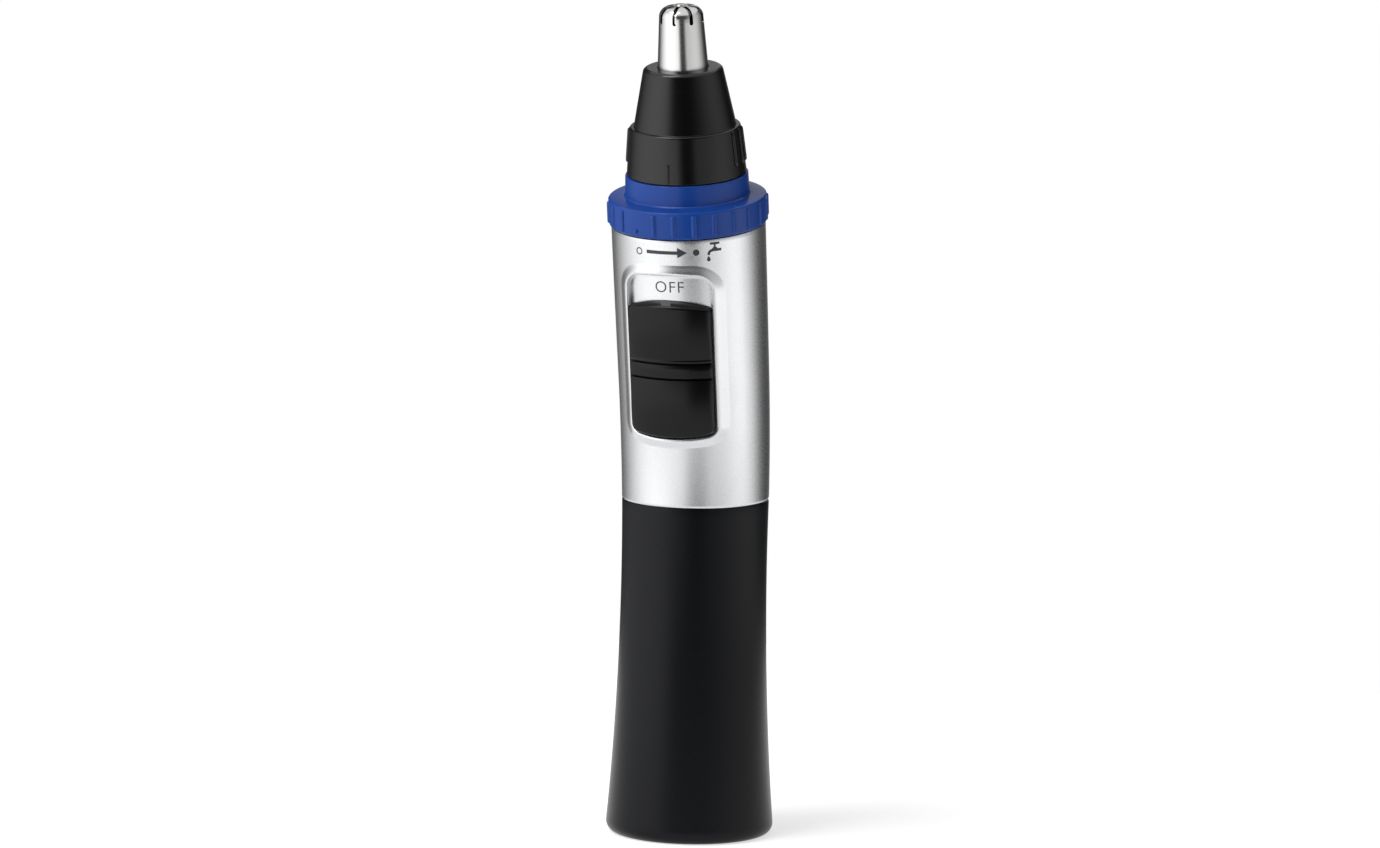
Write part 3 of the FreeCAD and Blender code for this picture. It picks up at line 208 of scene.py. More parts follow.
def finish(name, tint, rough, metallic=0.0, grain=0.25, depth=0.02, mottle=0.08, wear=0.0,
           wear_tint=None, stretch=(1, 1, 1), dark=None, **shader):
    """Finish with a grain of the given size (mm) in bump, roughness and colour, and worn edges.

    Where the mesh attribute named by dark rises from 0 to 1, the finish goes dark with painted shade.
    """
    known = bpy.data.materials.get(name)
    if known:
        return known
    # the second value is how far the painted shade darkens a finish's colour
    broad_grain, painted_shade_share = 9 * MM, 0.03
    material = bpy.data.materials.new(name)
    material.use_nodes = True
    tree = material.node_tree
    tree.nodes.clear()
    place = add_node(tree, "ShaderNodeTexCoord").outputs["Object"]
    place = add_node(tree, "ShaderNodeMapping", {"Vector": place, "Scale": stretch}).outputs[0]
    fine = add_node(tree, "ShaderNodeTexNoise", {"Vector": place, "Scale": 1 / (grain * MM),
                                                 "Detail": 3.0, "Roughness": 0.6})
    broad = add_node(tree, "ShaderNodeTexNoise", {"Vector": place, "Scale": 1 / broad_grain,
                                                  "Detail": 4.0, "Roughness": 0.55})
    cloud = ramp(tree, broad.outputs["Fac"], [(0.3, 0.0), (0.7, 1.0)])
    base = add_node(tree, "ShaderNodeMix", {"Factor": cloud, 6: (*scaled(tint, 1 - mottle), 1),
                                            7: (*scaled(tint, 1 + mottle), 1)}, data_type="RGBA")
    base = base.outputs[2]
    if wear:
        edge = add_node(tree, "ShaderNodeNewGeometry").outputs["Pointiness"]
        edge = ramp(tree, edge, [(0.53, 0.0), (0.60, 1.0)])
        patchy = ramp(tree, broad.outputs["Fac"], [(0.35, 0.25), (0.65, 1.0)])
        edge = add_node(tree, "ShaderNodeMath", {0: edge, 1: patchy}, operation="MULTIPLY")
        edge = add_node(tree, "ShaderNodeMath", {0: edge.outputs[0], 1: wear}, operation="MULTIPLY")
        worn = wear_tint or scaled(tint, 1.8)
        base = add_node(tree, "ShaderNodeMix", {"Factor": edge.outputs[0], 6: base,
                                                7: (*worn, 1)}, data_type="RGBA").outputs[2]
    # painted shade: the base colour darkens where the named attribute rises, in place of shade in
    # hollows
    if dark:
        painted_shade_mask = add_node(tree, "ShaderNodeAttribute", attribute_name=dark).outputs["Fac"]
        painted_shade_mask = ramp(tree, painted_shade_mask, [(0.03, 0.0), (0.35, 1.0)])
        base = add_node(tree, "ShaderNodeMix", {"Factor": painted_shade_mask, 6: base,
                                                7: (*scaled(tint, painted_shade_share), 1)},
                        data_type="RGBA").outputs[2]
    gloss = add_node(tree, "ShaderNodeMapRange", {"Value": fine.outputs["Fac"], 1: 0.3, 2: 0.7,
                                                  3: rough * 0.9, 4: rough * 1.1})
    bump = add_node(tree, "ShaderNodeBump", {"Height": fine.outputs["Fac"], "Strength": 1.0,
                                             "Distance": depth * MM})
    surface = add_node(tree, "ShaderNodeBsdfPrincipled",
                       {"Base Color": base, "Roughness": gloss.outputs[0],
                        "Normal": bump.outputs[0], "Metallic": metallic, **shader})
    add_node(tree, "ShaderNodeOutputMaterial", {"Surface": surface.outputs[0]})
    return material


# finish of each material slot; a tint in words is one of the colours above
FINISHES = {
    "silver_shell": {"name": "satin silver paint", "tint": "silver", "rough": 0.28,
                     "metallic": 0.92, "grain": 0.12, "depth": 0.0035, "mottle": 0.015,
                     "wear": 0.3, "wear_tint": (0.74, 0.74, 0.75)},
    "black_cover": {"name": "soft black moulding", "tint": "black", "rough": 0.30, "grain": 0.20,
                    "depth": 0.006, "mottle": 0.10, "wear": 0.4, "Specular IOR Level": 0.17},
    "black_switch": {"name": "satin black slide", "tint": "slide", "rough": 0.24, "grain": 0.16,
                     "depth": 0.006, "mottle": 0.10, "wear": 0.4, "Specular IOR Level": 0.21},
    "blue_ring": {"name": "gloss blue moulding", "tint": "blue", "rough": 0.22, "grain": 0.35,
                  "depth": 0.004, "mottle": 0.05, "wear": 0.4, "wear_tint": (0.03, 0.13, 0.50),
                  "Specular IOR Level": 0.18},
    "black_nozzle": {"name": "gloss black moulding", "tint": "nozzle", "rough": 0.22,
                     "grain": 0.35, "depth": 0.003, "mottle": 0.10, "wear": 0.4,
                     "Specular IOR Level": 0.40},
    # the dark entry paints shade on the slot walls and over the tip's inside
    "blade_steel": {"name": "polished blade steel", "tint": "steel", "rough": 0.20,
                    "metallic": 1.0, "grain": 0.10, "depth": 0.002, "mottle": 0.03, "wear": 0.3,
                    "stretch": (1, 1, 0.08), "dark": "inside"},
    "inner_plastic": {"name": "black inner moulding", "tint": (0.022, 0.022, 0.024), "rough": 0.5,
                      "grain": 0.3, "depth": 0.01},
    "white_plastic": {"name": "white acetal", "tint": (0.72, 0.71, 0.67), "rough": 0.38,
                      "grain": 0.5, "depth": 0.005, "mottle": 0.03, "Subsurface Weight": 0.1,
                      "Subsurface Scale": 0.001},
    "contact_metal": {"name": "nickelled contact", "tint": (0.66, 0.60, 0.50), "rough": 0.26,
                      "metallic": 1.0, "grain": 0.15, "depth": 0.003, "mottle": 0.06,
                      "wear": 0.3, "stretch": (1, 1, 0.1)},
    "spring_steel": {"name": "spring wire", "tint": (0.58, 0.57, 0.55), "rough": 0.28,
                     "metallic": 1.0, "grain": 0.1, "depth": 0.003, "mottle": 0.06},
    "motor_steel": {"name": "motor can steel", "tint": (0.55, 0.55, 0.54), "rough": 0.34,
                    "metallic": 1.0, "grain": 0.12, "depth": 0.004, "mottle": 0.06, "wear": 0.3,
                    "stretch": (0.1, 0.1, 1)},
    "shaft_steel": {"name": "ground shaft", "tint": (0.62, 0.62, 0.62), "rough": 0.16,
                    "metallic": 1.0, "grain": 0.08, "depth": 0.002, "mottle": 0.03,
                    "stretch": (0.1, 0.1, 1)},
    "magnet": {"name": "ferrite magnet", "tint": (0.05, 0.048, 0.05), "rough": 0.6,
               "grain": 0.3, "depth": 0.02, "mottle": 0.15},
    "armature_iron": {"name": "laminated iron", "tint": (0.30, 0.27, 0.25), "rough": 0.45,
                      "metallic": 1.0, "grain": 0.35, "depth": 0.03, "mottle": 0.12,
                      "stretch": (0.02, 0.02, 1)},
    "seal_rubber": {"name": "seal rubber", "tint": (0.016, 0.016, 0.017), "rough": 0.62,
                    "grain": 0.3, "depth": 0.012, "mottle": 0.12},
    "cell_jacket": {"name": "cell jacket", "tint": (0.06, 0.075, 0.10), "rough": 0.3,
                    "metallic": 0.4, "grain": 0.6, "depth": 0.004, "mottle": 0.06,
                    "Coat Weight": 0.5},
    "board": {"name": "green board", "tint": (0.02, 0.12, 0.05), "rough": 0.4, "grain": 0.3,
              "depth": 0.006, "mottle": 0.1},
    "ink": {"name": "printed ink", "tint": "ink", "rough": 0.42, "grain": 0.15, "depth": 0.002,
            "mottle": 0.2},
}


def finish_of(slot):
    """The finish of a material slot of the record."""
    given = dict(FINISHES[slot])
    if isinstance(given["tint"], str):
        given["tint"] = getattr(finishes(), given["tint"])
    return finish(**given)


# ---------------------------------------------------------------- meshes


def rounded(corners, steps=5):
    """Closed outline through (radius, height[, rounding]) corners, with support points."""
    line = []
    count = len(corners)
    for number, corner in enumerate(corners):
        here = Vector(corner[:2])
        radius = corner[2] if len(corner) > 2 else 0.0
        if not radius:
            line.append(here)
            continue
        back = (Vector(corners[number - 1][:2]) - here).normalized()
        on = (Vector(corners[(number + 1) % count][:2]) - here).normalized()
        half = back.angle(on) / 2
        reach = radius / math.tan(half)
        middle = here + (back + on).normalized() * radius / math.sin(half)
        start = here + back * reach - middle
        end = here + on * reach - middle
        sweep = start.angle(end)
        line.append(here + back * (reach + 0.25 * radius))
        for step in range(steps + 1):
            share = step / steps
            turn = (start * math.sin((1 - share) * sweep) + end * math.sin(share * sweep))
            line.append(middle + turn / math.sin(sweep))
        line.append(here + on * (reach + 0.25 * radius))
    return [(point.x, point.y) for point in line]


def linked(name, data):
    """New object in the scene's own collection."""
    made = bpy.data.objects.new(name, data)
    bpy.context.scene.collection.objects.link(made)
    return made


def smooth_mesh(mesh, sharp):
    """Shades a mesh smooth, with edges that bend more than sharp left sharp."""
    mesh.polygons.foreach_set("use_smooth", [True] * len(mesh.polygons))
    mesh.set_sharp_from_angle(angle=math.radians(sharp))


def mesh_of(name, points, faces, sharp=SHARP):
    """Mesh with doubles merged and its faces turned outward."""
    mesh = bpy.data.meshes.new(name)
    mesh.from_pydata([tuple(point) for point in points], [], faces)
    work = bmesh.new()
    work.from_mesh(mesh)
    bmesh.ops.remove_doubles(work, verts=work.verts, dist=1e-7)
    bmesh.ops.dissolve_degenerate(work, edges=work.edges, dist=1e-8)
    bmesh.ops.recalc_face_normals(work, faces=work.faces)
    work.to_mesh(mesh)
    work.free()
    smooth_mesh(mesh, sharp)
    return mesh


def joined(name, meshes, sharp=SHARP):
    """One mesh from several."""
    work = bmesh.new()
    for mesh in meshes:
        work.from_mesh(mesh)
    whole = bpy.data.meshes.new(name)
    work.to_mesh(whole)
    work.free()
    smooth_mesh(whole, sharp)
    return whole


def place_piece(mesh, slot, body, stands_for):
    """Piece of a mesh and its name, finished, riding on a body, in place of CAD nodes."""
    piece = linked(mesh.name, mesh)
    mesh.materials.clear()
    mesh.materials.append(finish_of(slot))
    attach(piece, body)
    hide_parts(*stands_for)
    return piece


def lathe(name, profile, steps, matrix=Matrix()):
    """Mesh of a closed outline of (radius, height) in millimetres turned about Z."""
    points, faces = [], []
    for step in range(steps):
        angle = FULL_TURN * step / steps
        for radius, height in profile:
            reach = radius * MM
            point = Vector((reach * math.sin(angle), -reach * math.cos(angle), height * MM))
            points.append(matrix @ point)
    count = len(profile)
    for step in range(steps):
        here, there = step * count, (step + 1) % steps * count
        for number in range(count):
            after = (number + 1) % count
            faces.append((here + number, there + number, there + after, here + after))
    return mesh_of(name, points, faces)


def nodes_result(name, tree, values, source=None):
    """Mesh that a geometry node tree gives for these named inputs."""
    base = source or bpy.data.meshes.new(name + "_base")
    holder = linked(name + "_holder", base)
    modifier = holder.modifiers.new("make", "NODES")
    modifier.node_group = tree
    for item in tree.interface.items_tree:
        if item.item_type == "SOCKET" and item.in_out == "INPUT" and item.name in values:
            modifier[item.identifier] = values[item.name]
    graph = bpy.context.evaluated_depsgraph_get()
    mesh = bpy.data.meshes.new_from_object(holder.evaluated_get(graph))
    mesh.name = name
    bpy.data.objects.remove(holder)
    return mesh


def new_tree(name, inputs):
    """Geometry node tree with named inputs and its Group Input and Group Output nodes."""
    tree = bpy.data.node_groups.new(name, "GeometryNodeTree")
    tree.interface.new_socket("Geometry", in_out="INPUT", socket_type="NodeSocketGeometry")
    tree.interface.new_socket("Geometry", in_out="OUTPUT", socket_type="NodeSocketGeometry")
    for label, kind in inputs:
        tree.interface.new_socket(label, in_out="INPUT", socket_type="NodeSocket" + kind)
    source = tree.nodes.new("NodeGroupInput")
    return tree, source.outputs


def end_tree(tree, geometry, material):
    """Ends a tree with Realize Instances and Set Material."""
    real = add_node(tree, "GeometryNodeRealizeInstances", {"Geometry": geometry})
    coated = add_node(tree, "GeometryNodeSetMaterial", {"Geometry": real.outputs[0],
                                                        "Material": material})
    target = tree.nodes.new("NodeGroupOutput")
    tree.links.new(coated.outputs[0], target.inputs["Geometry"])


def maths(tree, operation, first, second=0.0):
    """Output of one maths node."""
    return add_node(tree, "ShaderNodeMath", {0: first, 1: second}, operation=operation).outputs[0]


def around_axis(tree, instance, ins):
    """Copies of the instance turned about Z by First Angle + number x Step."""
    points = add_node(tree, "GeometryNodePoints", {"Count": ins["Count"]})
    number = add_node(tree, "GeometryNodeInputIndex").outputs[0]
    angle = maths(tree, "ADD", maths(tree, "MULTIPLY", number, ins["Step"]), ins["First Angle"])
    turn = add_node(tree, "ShaderNodeCombineXYZ", {"Z": angle})
    turn = add_node(tree, "FunctionNodeEulerToRotation", {0: turn.outputs[0]})
    copies = add_node(tree, "GeometryNodeInstanceOnPoints",
                      {"Points": points.outputs[0], "Instance": instance,
                       "Rotation": turn.outputs[0]})
    return copies.outputs[0]


def laid_on_head(tree, geometry, ins):
    """Takes upright geometry onto the head's axis."""
    turn = add_node(tree, "ShaderNodeCombineXYZ", {"X": ins["Lean"]})
    turn = add_node(tree, "FunctionNodeEulerToRotation", {0: turn.outputs[0]})
    laid = add_node(tree, "GeometryNodeTransform",
                    {"Geometry": geometry, "Translation": ins["Place"],
                     "Rotation": turn.outputs[0]})
    return laid.outputs[0]


HEAD_INPUTS = [("Lean", "Float"), ("Place", "Vector"), ("Material", "Material")]


def head_values(slot):
    """Values that lay a tree's result on the head in a slot's finish."""
    return {"Lean": HEAD_LEAN, "Place": HEAD.translation, "Material": finish_of(slot)}


def rib_tree():
    """Round-backed ribs, each from Foot to Top, set round the head's axis."""
    tree, ins = new_tree("ribs", [("Count", "Int"), ("First Angle", "Float"), ("Step", "Float"),
                                  ("Foot", "Vector"), ("Top", "Vector"), ("Width", "Float"),
                                  *HEAD_INPUTS])
    line = add_node(tree, "GeometryNodeCurvePrimitiveLine", {"Start": ins["Foot"], "End": ins["Top"]})
    line = add_node(tree, "GeometryNodeResampleCurve", {"Curve": line.outputs[0], "Count": 25})
    along = add_node(tree, "GeometryNodeSplineParameter").outputs["Factor"]
    ends = maths(tree, "ABSOLUTE", maths(tree, "SUBTRACT", maths(tree, "MULTIPLY", along, 2.0), 1.0))
    taper = maths(tree, "SQRT", maths(tree, "SUBTRACT", 1.0, maths(tree, "POWER", ends, 14.0)))
    taper = maths(tree, "MAXIMUM", taper, 0.02)
    section = add_node(tree, "GeometryNodeCurvePrimitiveCircle",
                       {"Resolution": 16, "Radius": maths(tree, "MULTIPLY", ins["Width"], 0.5)})
    rib = add_node(tree, "GeometryNodeCurveToMesh",
                   {"Curve": line.outputs[0], "Profile Curve": section.outputs[0],
                    "Scale": taper, "Fill Caps": True})
    ribs = around_axis(tree, rib.outputs[0], ins)
    end_tree(tree, laid_on_head(tree, ribs, ins), ins["Material"])
    return tree


def ribs(name, tree, slot, count, first, step, foot, top, width):
    """Mesh of a row of ribs; foot and top are (radius, s) in millimetres."""
    values = {"Count": count, "First Angle": math.radians(first), "Step": math.radians(step),
              "Foot": Vector((0, -foot[0], foot[1])) * MM, "Top": Vector((0, -top[0], top[1])) * MM,
              "Width": width * MM, **head_values(slot)}
    return nodes_result(name, tree, values)


# ---------------------------------------------------------------- battery cover


COVER_BASE_R, COVER_WAIST_R, COVER_WAIST_Z = 13.77, 11.83, 44.4


def cover_radius(z):
    """Radius of the cover at height z: a parabola with its waist near the seam."""
    flare = (COVER_BASE_R - COVER_WAIST_R) / COVER_WAIST_Z ** 2
    return COVER_WAIST_R + flare * (z - COVER_WAIST_Z) ** 2


def make_cover():
    """Flared cup with a rounded foot, open at the top."""
    wall, floor, foot_round, foot = 1.45, 1.6, 1.7, 2.6
    top = SEAM / MM - PARTING / MM / 2
    bore, bore_depth = COVER_WAIST_R - wall + 0.1, 9.5
    outer = [(cover_radius(z), z) for z in spread(foot, top - 0.35, 40)]
    inner = [(cover_radius(z) - wall, z) for z in spread(top - bore_depth - 0.1, floor + 0.2, 24)]
    profile = rounded([(0.0, 0.0), (cover_radius(0), 0.0, foot_round),
                       (cover_radius(foot - 0.05), foot - 0.05)], 8)[:-1]
    lip = cover_radius(top)
    profile += outer + [(lip - 0.02, top - 0.16), (lip - 0.10, top - 0.04), (lip - 0.22, top)]
    profile += [(bore + 0.2, top), (bore, top - 0.25), (bore, top - bore_depth)]
    profile += inner + [(inner[-1][0] - 0.3, floor), (0.0, floor)]
    cover = lathe("battery_cover_moulding", profile, 128)
    place_piece(cover, "black_cover", "battery_cover", ["battery_cover"])


# ---------------------------------------------------------------- upper shell


def shell_radius(s):
    """Radius of the shell, which swells a little on its way up."""
    swell = 0.46
    low, high = sizes().shell_low_r, sizes().shell_high_r
    share = (s - SEAM) / (sizes().shell_top - SEAM)
    return low + (high - low) * share * (1 + swell * (1 - share))


def on_side(angle, s, height=0.0):
    """Point on the shell's side; angle is from the front towards +X."""
    centre, lean = centre_line(s)
    forward = Vector((0, -math.cos(lean), -math.sin(lean)))
    across = Vector((math.sin(angle), 0, 0))
    return centre + (shell_radius(s) + height) * (across + math.cos(angle) * forward)


def side_place(x, z, height=0.0):
    """Angle and s of the point of the shell's side at (x, z) of the head, seen from its front."""
    s, angle = z, 0.0
    for _ in range(6):
        reach = shell_radius(s) + height
        angle = math.asin(max(-1.0, min(1.0, x / reach)))
        s += z - (HEAD_BACK @ on_side(angle, s, height)).z
    return angle, s


def on_front(x, z, height=0.0):
    """Point over the shell's front at (x, z) of the head."""
    angle, s = side_place(x, z, height)
    return on_side(angle, s, height)


# faces along the straight part of the window's sides, and in half a corner
ACROSS, DOWN, CORNER = 14, 26, 6
SIDE_ACROSS = ACROSS + 2 * CORNER
SIDE_DOWN = DOWN + 2 * CORNER


def window_outline(grow):
    """Rounded and bowed outline of the window, grown outwards, as (x, z) points."""
    size = sizes()
    half = size.window_half + grow
    low, high = size.window_low - grow, size.window_high + grow
    low_round, high_round = size.low_corner + grow, size.high_corner + grow
    quarter = [math.pi / 4 * step / CORNER for step in range(CORNER)]

    def side(start, end, first, last, count):
        """(along, in from the side) points of one side, from corner middle to corner middle."""
        line = [(start + first - first * math.sin(math.pi / 4 - turn),
                 first - first * math.cos(math.pi / 4 - turn)) for turn in quarter]
        flat = spread(start + first, end - last, count + 1)[:-1]
        line += [(along, 0.0) for along in flat]
        line += [(end - last + last * math.sin(turn), last - last * math.cos(turn))
                 for turn in quarter]
        return line

    points = [(x, low + inward) for x, inward in side(-half, half, low_round, low_round, ACROSS)]
    points += [(half - inward, z) for z, inward in side(low, high, low_round, high_round, DOWN)]
    points += [(-x, high - inward)
               for x, inward in side(-half, half, high_round, high_round, ACROSS)]
    points += [(-half + inward, low + high - z)
               for z, inward in side(low, high, high_round, low_round, DOWN)]
    middle, tall = (high + low) / 2, (high - low) / 2
    bowed = []
    for x, z in points:
        up = (z - middle) / tall
        bow = size.high_bow if up > 0 else size.low_bow
        bowed.append((x, z + bow * (1 - (x / half) ** 2) * max(-1.0, min(1.0, up))))
    return bowed


def filled(ring, place):
    """Points and faces of a grid that fills a four-sided ring of (x, z) points."""
    wide, tall = SIDE_ACROSS, SIDE_DOWN
    bottom = ring[:wide + 1]
    right = ring[wide:wide + tall + 1]
    top = list(reversed(ring[wide + tall:2 * wide + tall + 1]))
    left = list(reversed(ring[2 * wide + tall:] + ring[:1]))
    points, faces = [], []
    for row in range(tall + 1):
        v = row / tall
        for column in range(wide + 1):
            u = column / wide
            grid = []
            for axis in (0, 1):
                edge = ((1 - v) * bottom[column][axis] + v * top[column][axis]
                        + (1 - u) * left[row][axis] + u * right[row][axis])
                corners = ((1 - u) * (1 - v) * bottom[0][axis] + u * (1 - v) * bottom[-1][axis]
                           + (1 - u) * v * top[0][axis] + u * v * top[-1][axis])
                grid.append(edge - corners)
            points.append(place(*grid))
    for row in range(tall):
        for column in range(wide):
            first = row * (wide + 1) + column
            faces.append((first, first + 1, first + wide + 2, first + wide + 1))
    return points, faces


def smooth_step(share):
    """0 to 1 with level ends."""
    return share * share * (3 - 2 * share)


def rim_section():
    """(distance from the window's edge, height) through floor corner, wall, crest and slope."""
    tall, deep = sizes().rim_height, sizes().window_depth
    crest, wide = sizes().rim_crest, sizes().rim_width
    line = [(-0.30 * MM, -deep), (-0.16 * MM, -deep + 0.02 * MM), (-0.05 * MM, -deep + 0.09 * MM),
            (0, -deep + 0.24 * MM), (0, tall - 0.26 * MM),
            (0.03 * MM, tall - 0.14 * MM), (0.10 * MM, tall - 0.05 * MM),
            (0.20 * MM, tall - 0.005 * MM), (crest * 0.75, tall)]
    straight = 0.65
    for share in spread(0, 1, 13):
        fall = straight * share + (1 - straight) * smooth_step(share)
        line.append((crest + (wide - crest) * share, tall * (1 - fall)))
    return [*line, (wide + 0.08 * MM, 0)]


def strips(inner, outer):
    """Faces between two closed rows of point numbers of the same count."""
    after = [*range(1, len(inner)), 0]
    return [(inner[here], inner[there], outer[there], outer[here])
            for here, there in enumerate(after)]


def make_shell():
    """Bent shell with its window, raised rim, recess floor and inside."""
    low_s, high_s = SEAM + PARTING / 2, sizes().shell_top
    frame_low, frame_high, half_angle = 62.0 * MM, 98.6 * MM, math.radians(62)
    wall, thick_wall = -1.5 * MM, -2.5 * MM
    thick_low, thick_high = 65.5 * MM, 96.5 * MM
    back, border_steps = 46, 8
    wide, tall = SIDE_ACROSS, SIDE_DOWN
    around = 2 * (wide + tall)
    points, faces, rings = [], [], []

    def new_ring(ring):
        rings.append(list(range(len(points), len(points) + around)))
        points.extend(ring)

    # the window's wall, crest and slope, and the side out to a four-sided border
    section = rim_section()
    for grow, height in section:
        new_ring([on_front(x, z, height) for x, z in window_outline(grow)])
    foot = [side_place(x, z) for x, z in window_outline(section[-1][0])]
    columns = [-half_angle + 2 * half_angle * step / wide for step in range(wide + 1)]
    rows = [frame_low + (frame_high - frame_low) * step / tall for step in range(tall + 1)]
    border = [(angle, frame_low) for angle in columns[:-1]]
    border += [(half_angle, s) for s in rows[:-1]]
    border += [(angle, frame_high) for angle in reversed(columns[1:])]
    border += [(-half_angle, s) for s in reversed(rows[1:])]
    for step in range(1, border_steps):
        share = step / border_steps
        new_ring([on_side(a + (c - a) * share, b + (d - b) * share)
                  for (a, b), (c, d) in zip(foot, border)])
    for inner, outer in zip(rings, rings[1:]):
        faces += strips(inner, outer)
    floor_points, floor_faces = filled(window_outline(section[0][0]),
                                       lambda x, z: on_front(x, z, -sizes().window_depth))
    start = len(points)
    points += floor_points
    faces += [tuple(start + index for index in face) for face in floor_faces]
    # the rest of the side: columns round the back, rows below and above the window's frame
    columns += [half_angle + (FULL_TURN - 2 * half_angle) * step / back
                for step in range(1, back)]
    lower = [low_s + 0.22 * MM, low_s + 0.5 * MM, *spread(low_s + 1.2 * MM, frame_low, 7)[:-1]]
    upper = [*spread(frame_high, high_s - 0.7 * MM, 4)[1:], high_s - 0.3 * MM]
    all_rows = lower + rows + upper
    start = len(points)
    count = len(columns)
    for s in all_rows:
        points += [on_side(angle, s) for angle in columns]
    first_row, last_row = len(lower), len(lower) + tall
    for row in range(len(all_rows) - 1):
        for column in range(count):
            if first_row <= row < last_row and column < wide:
                continue
            here = start + row * count
            after = (column + 1) % count
            faces.append((here + column, here + after, here + count + after, here + count + column))
    grid_border = [start + first_row * count + column for column in range(wide)]
    grid_border += [start + (first_row + row) * count + wide for row in range(tall)]
    grid_border += [start + last_row * count + column for column in range(wide, 0, -1)]
    grid_border += [start + (first_row + row) * count for row in range(tall, 0, -1)]
    faces += strips(rings[-1], grid_border)
    # lips, ends and the inside, thicker behind the window
    tail = [(low_s + 0.22 * MM, 0), (low_s + 0.07 * MM, -0.06 * MM), (low_s, -0.2 * MM), (low_s, wall)]
    inside = [(s, thick_wall if thick_low < s < thick_high else wall)
              for s in spread(low_s, high_s, 20)]
    crown = [(high_s, wall), (high_s, -0.16 * MM), (high_s - 0.06 * MM, -0.05 * MM),
             (high_s - 0.3 * MM, 0)]
    line = tail + inside[1:-1] + crown
    start = len(points)
    for s, height in line:
        points += [on_side(angle, s, height) for angle in columns]
    for row in range(len(line) - 1):
        for column in range(count):
            here = start + row * count
            after = (column + 1) % count
            faces.append((here + column, here + count + column, here + count + after, here + after))
    shell = mesh_of("upper_shell_moulding", points, faces)
    place_piece(shell, "silver_shell", "housing", ["upper_shell"])


# ---------------------------------------------------------------- thumb slide


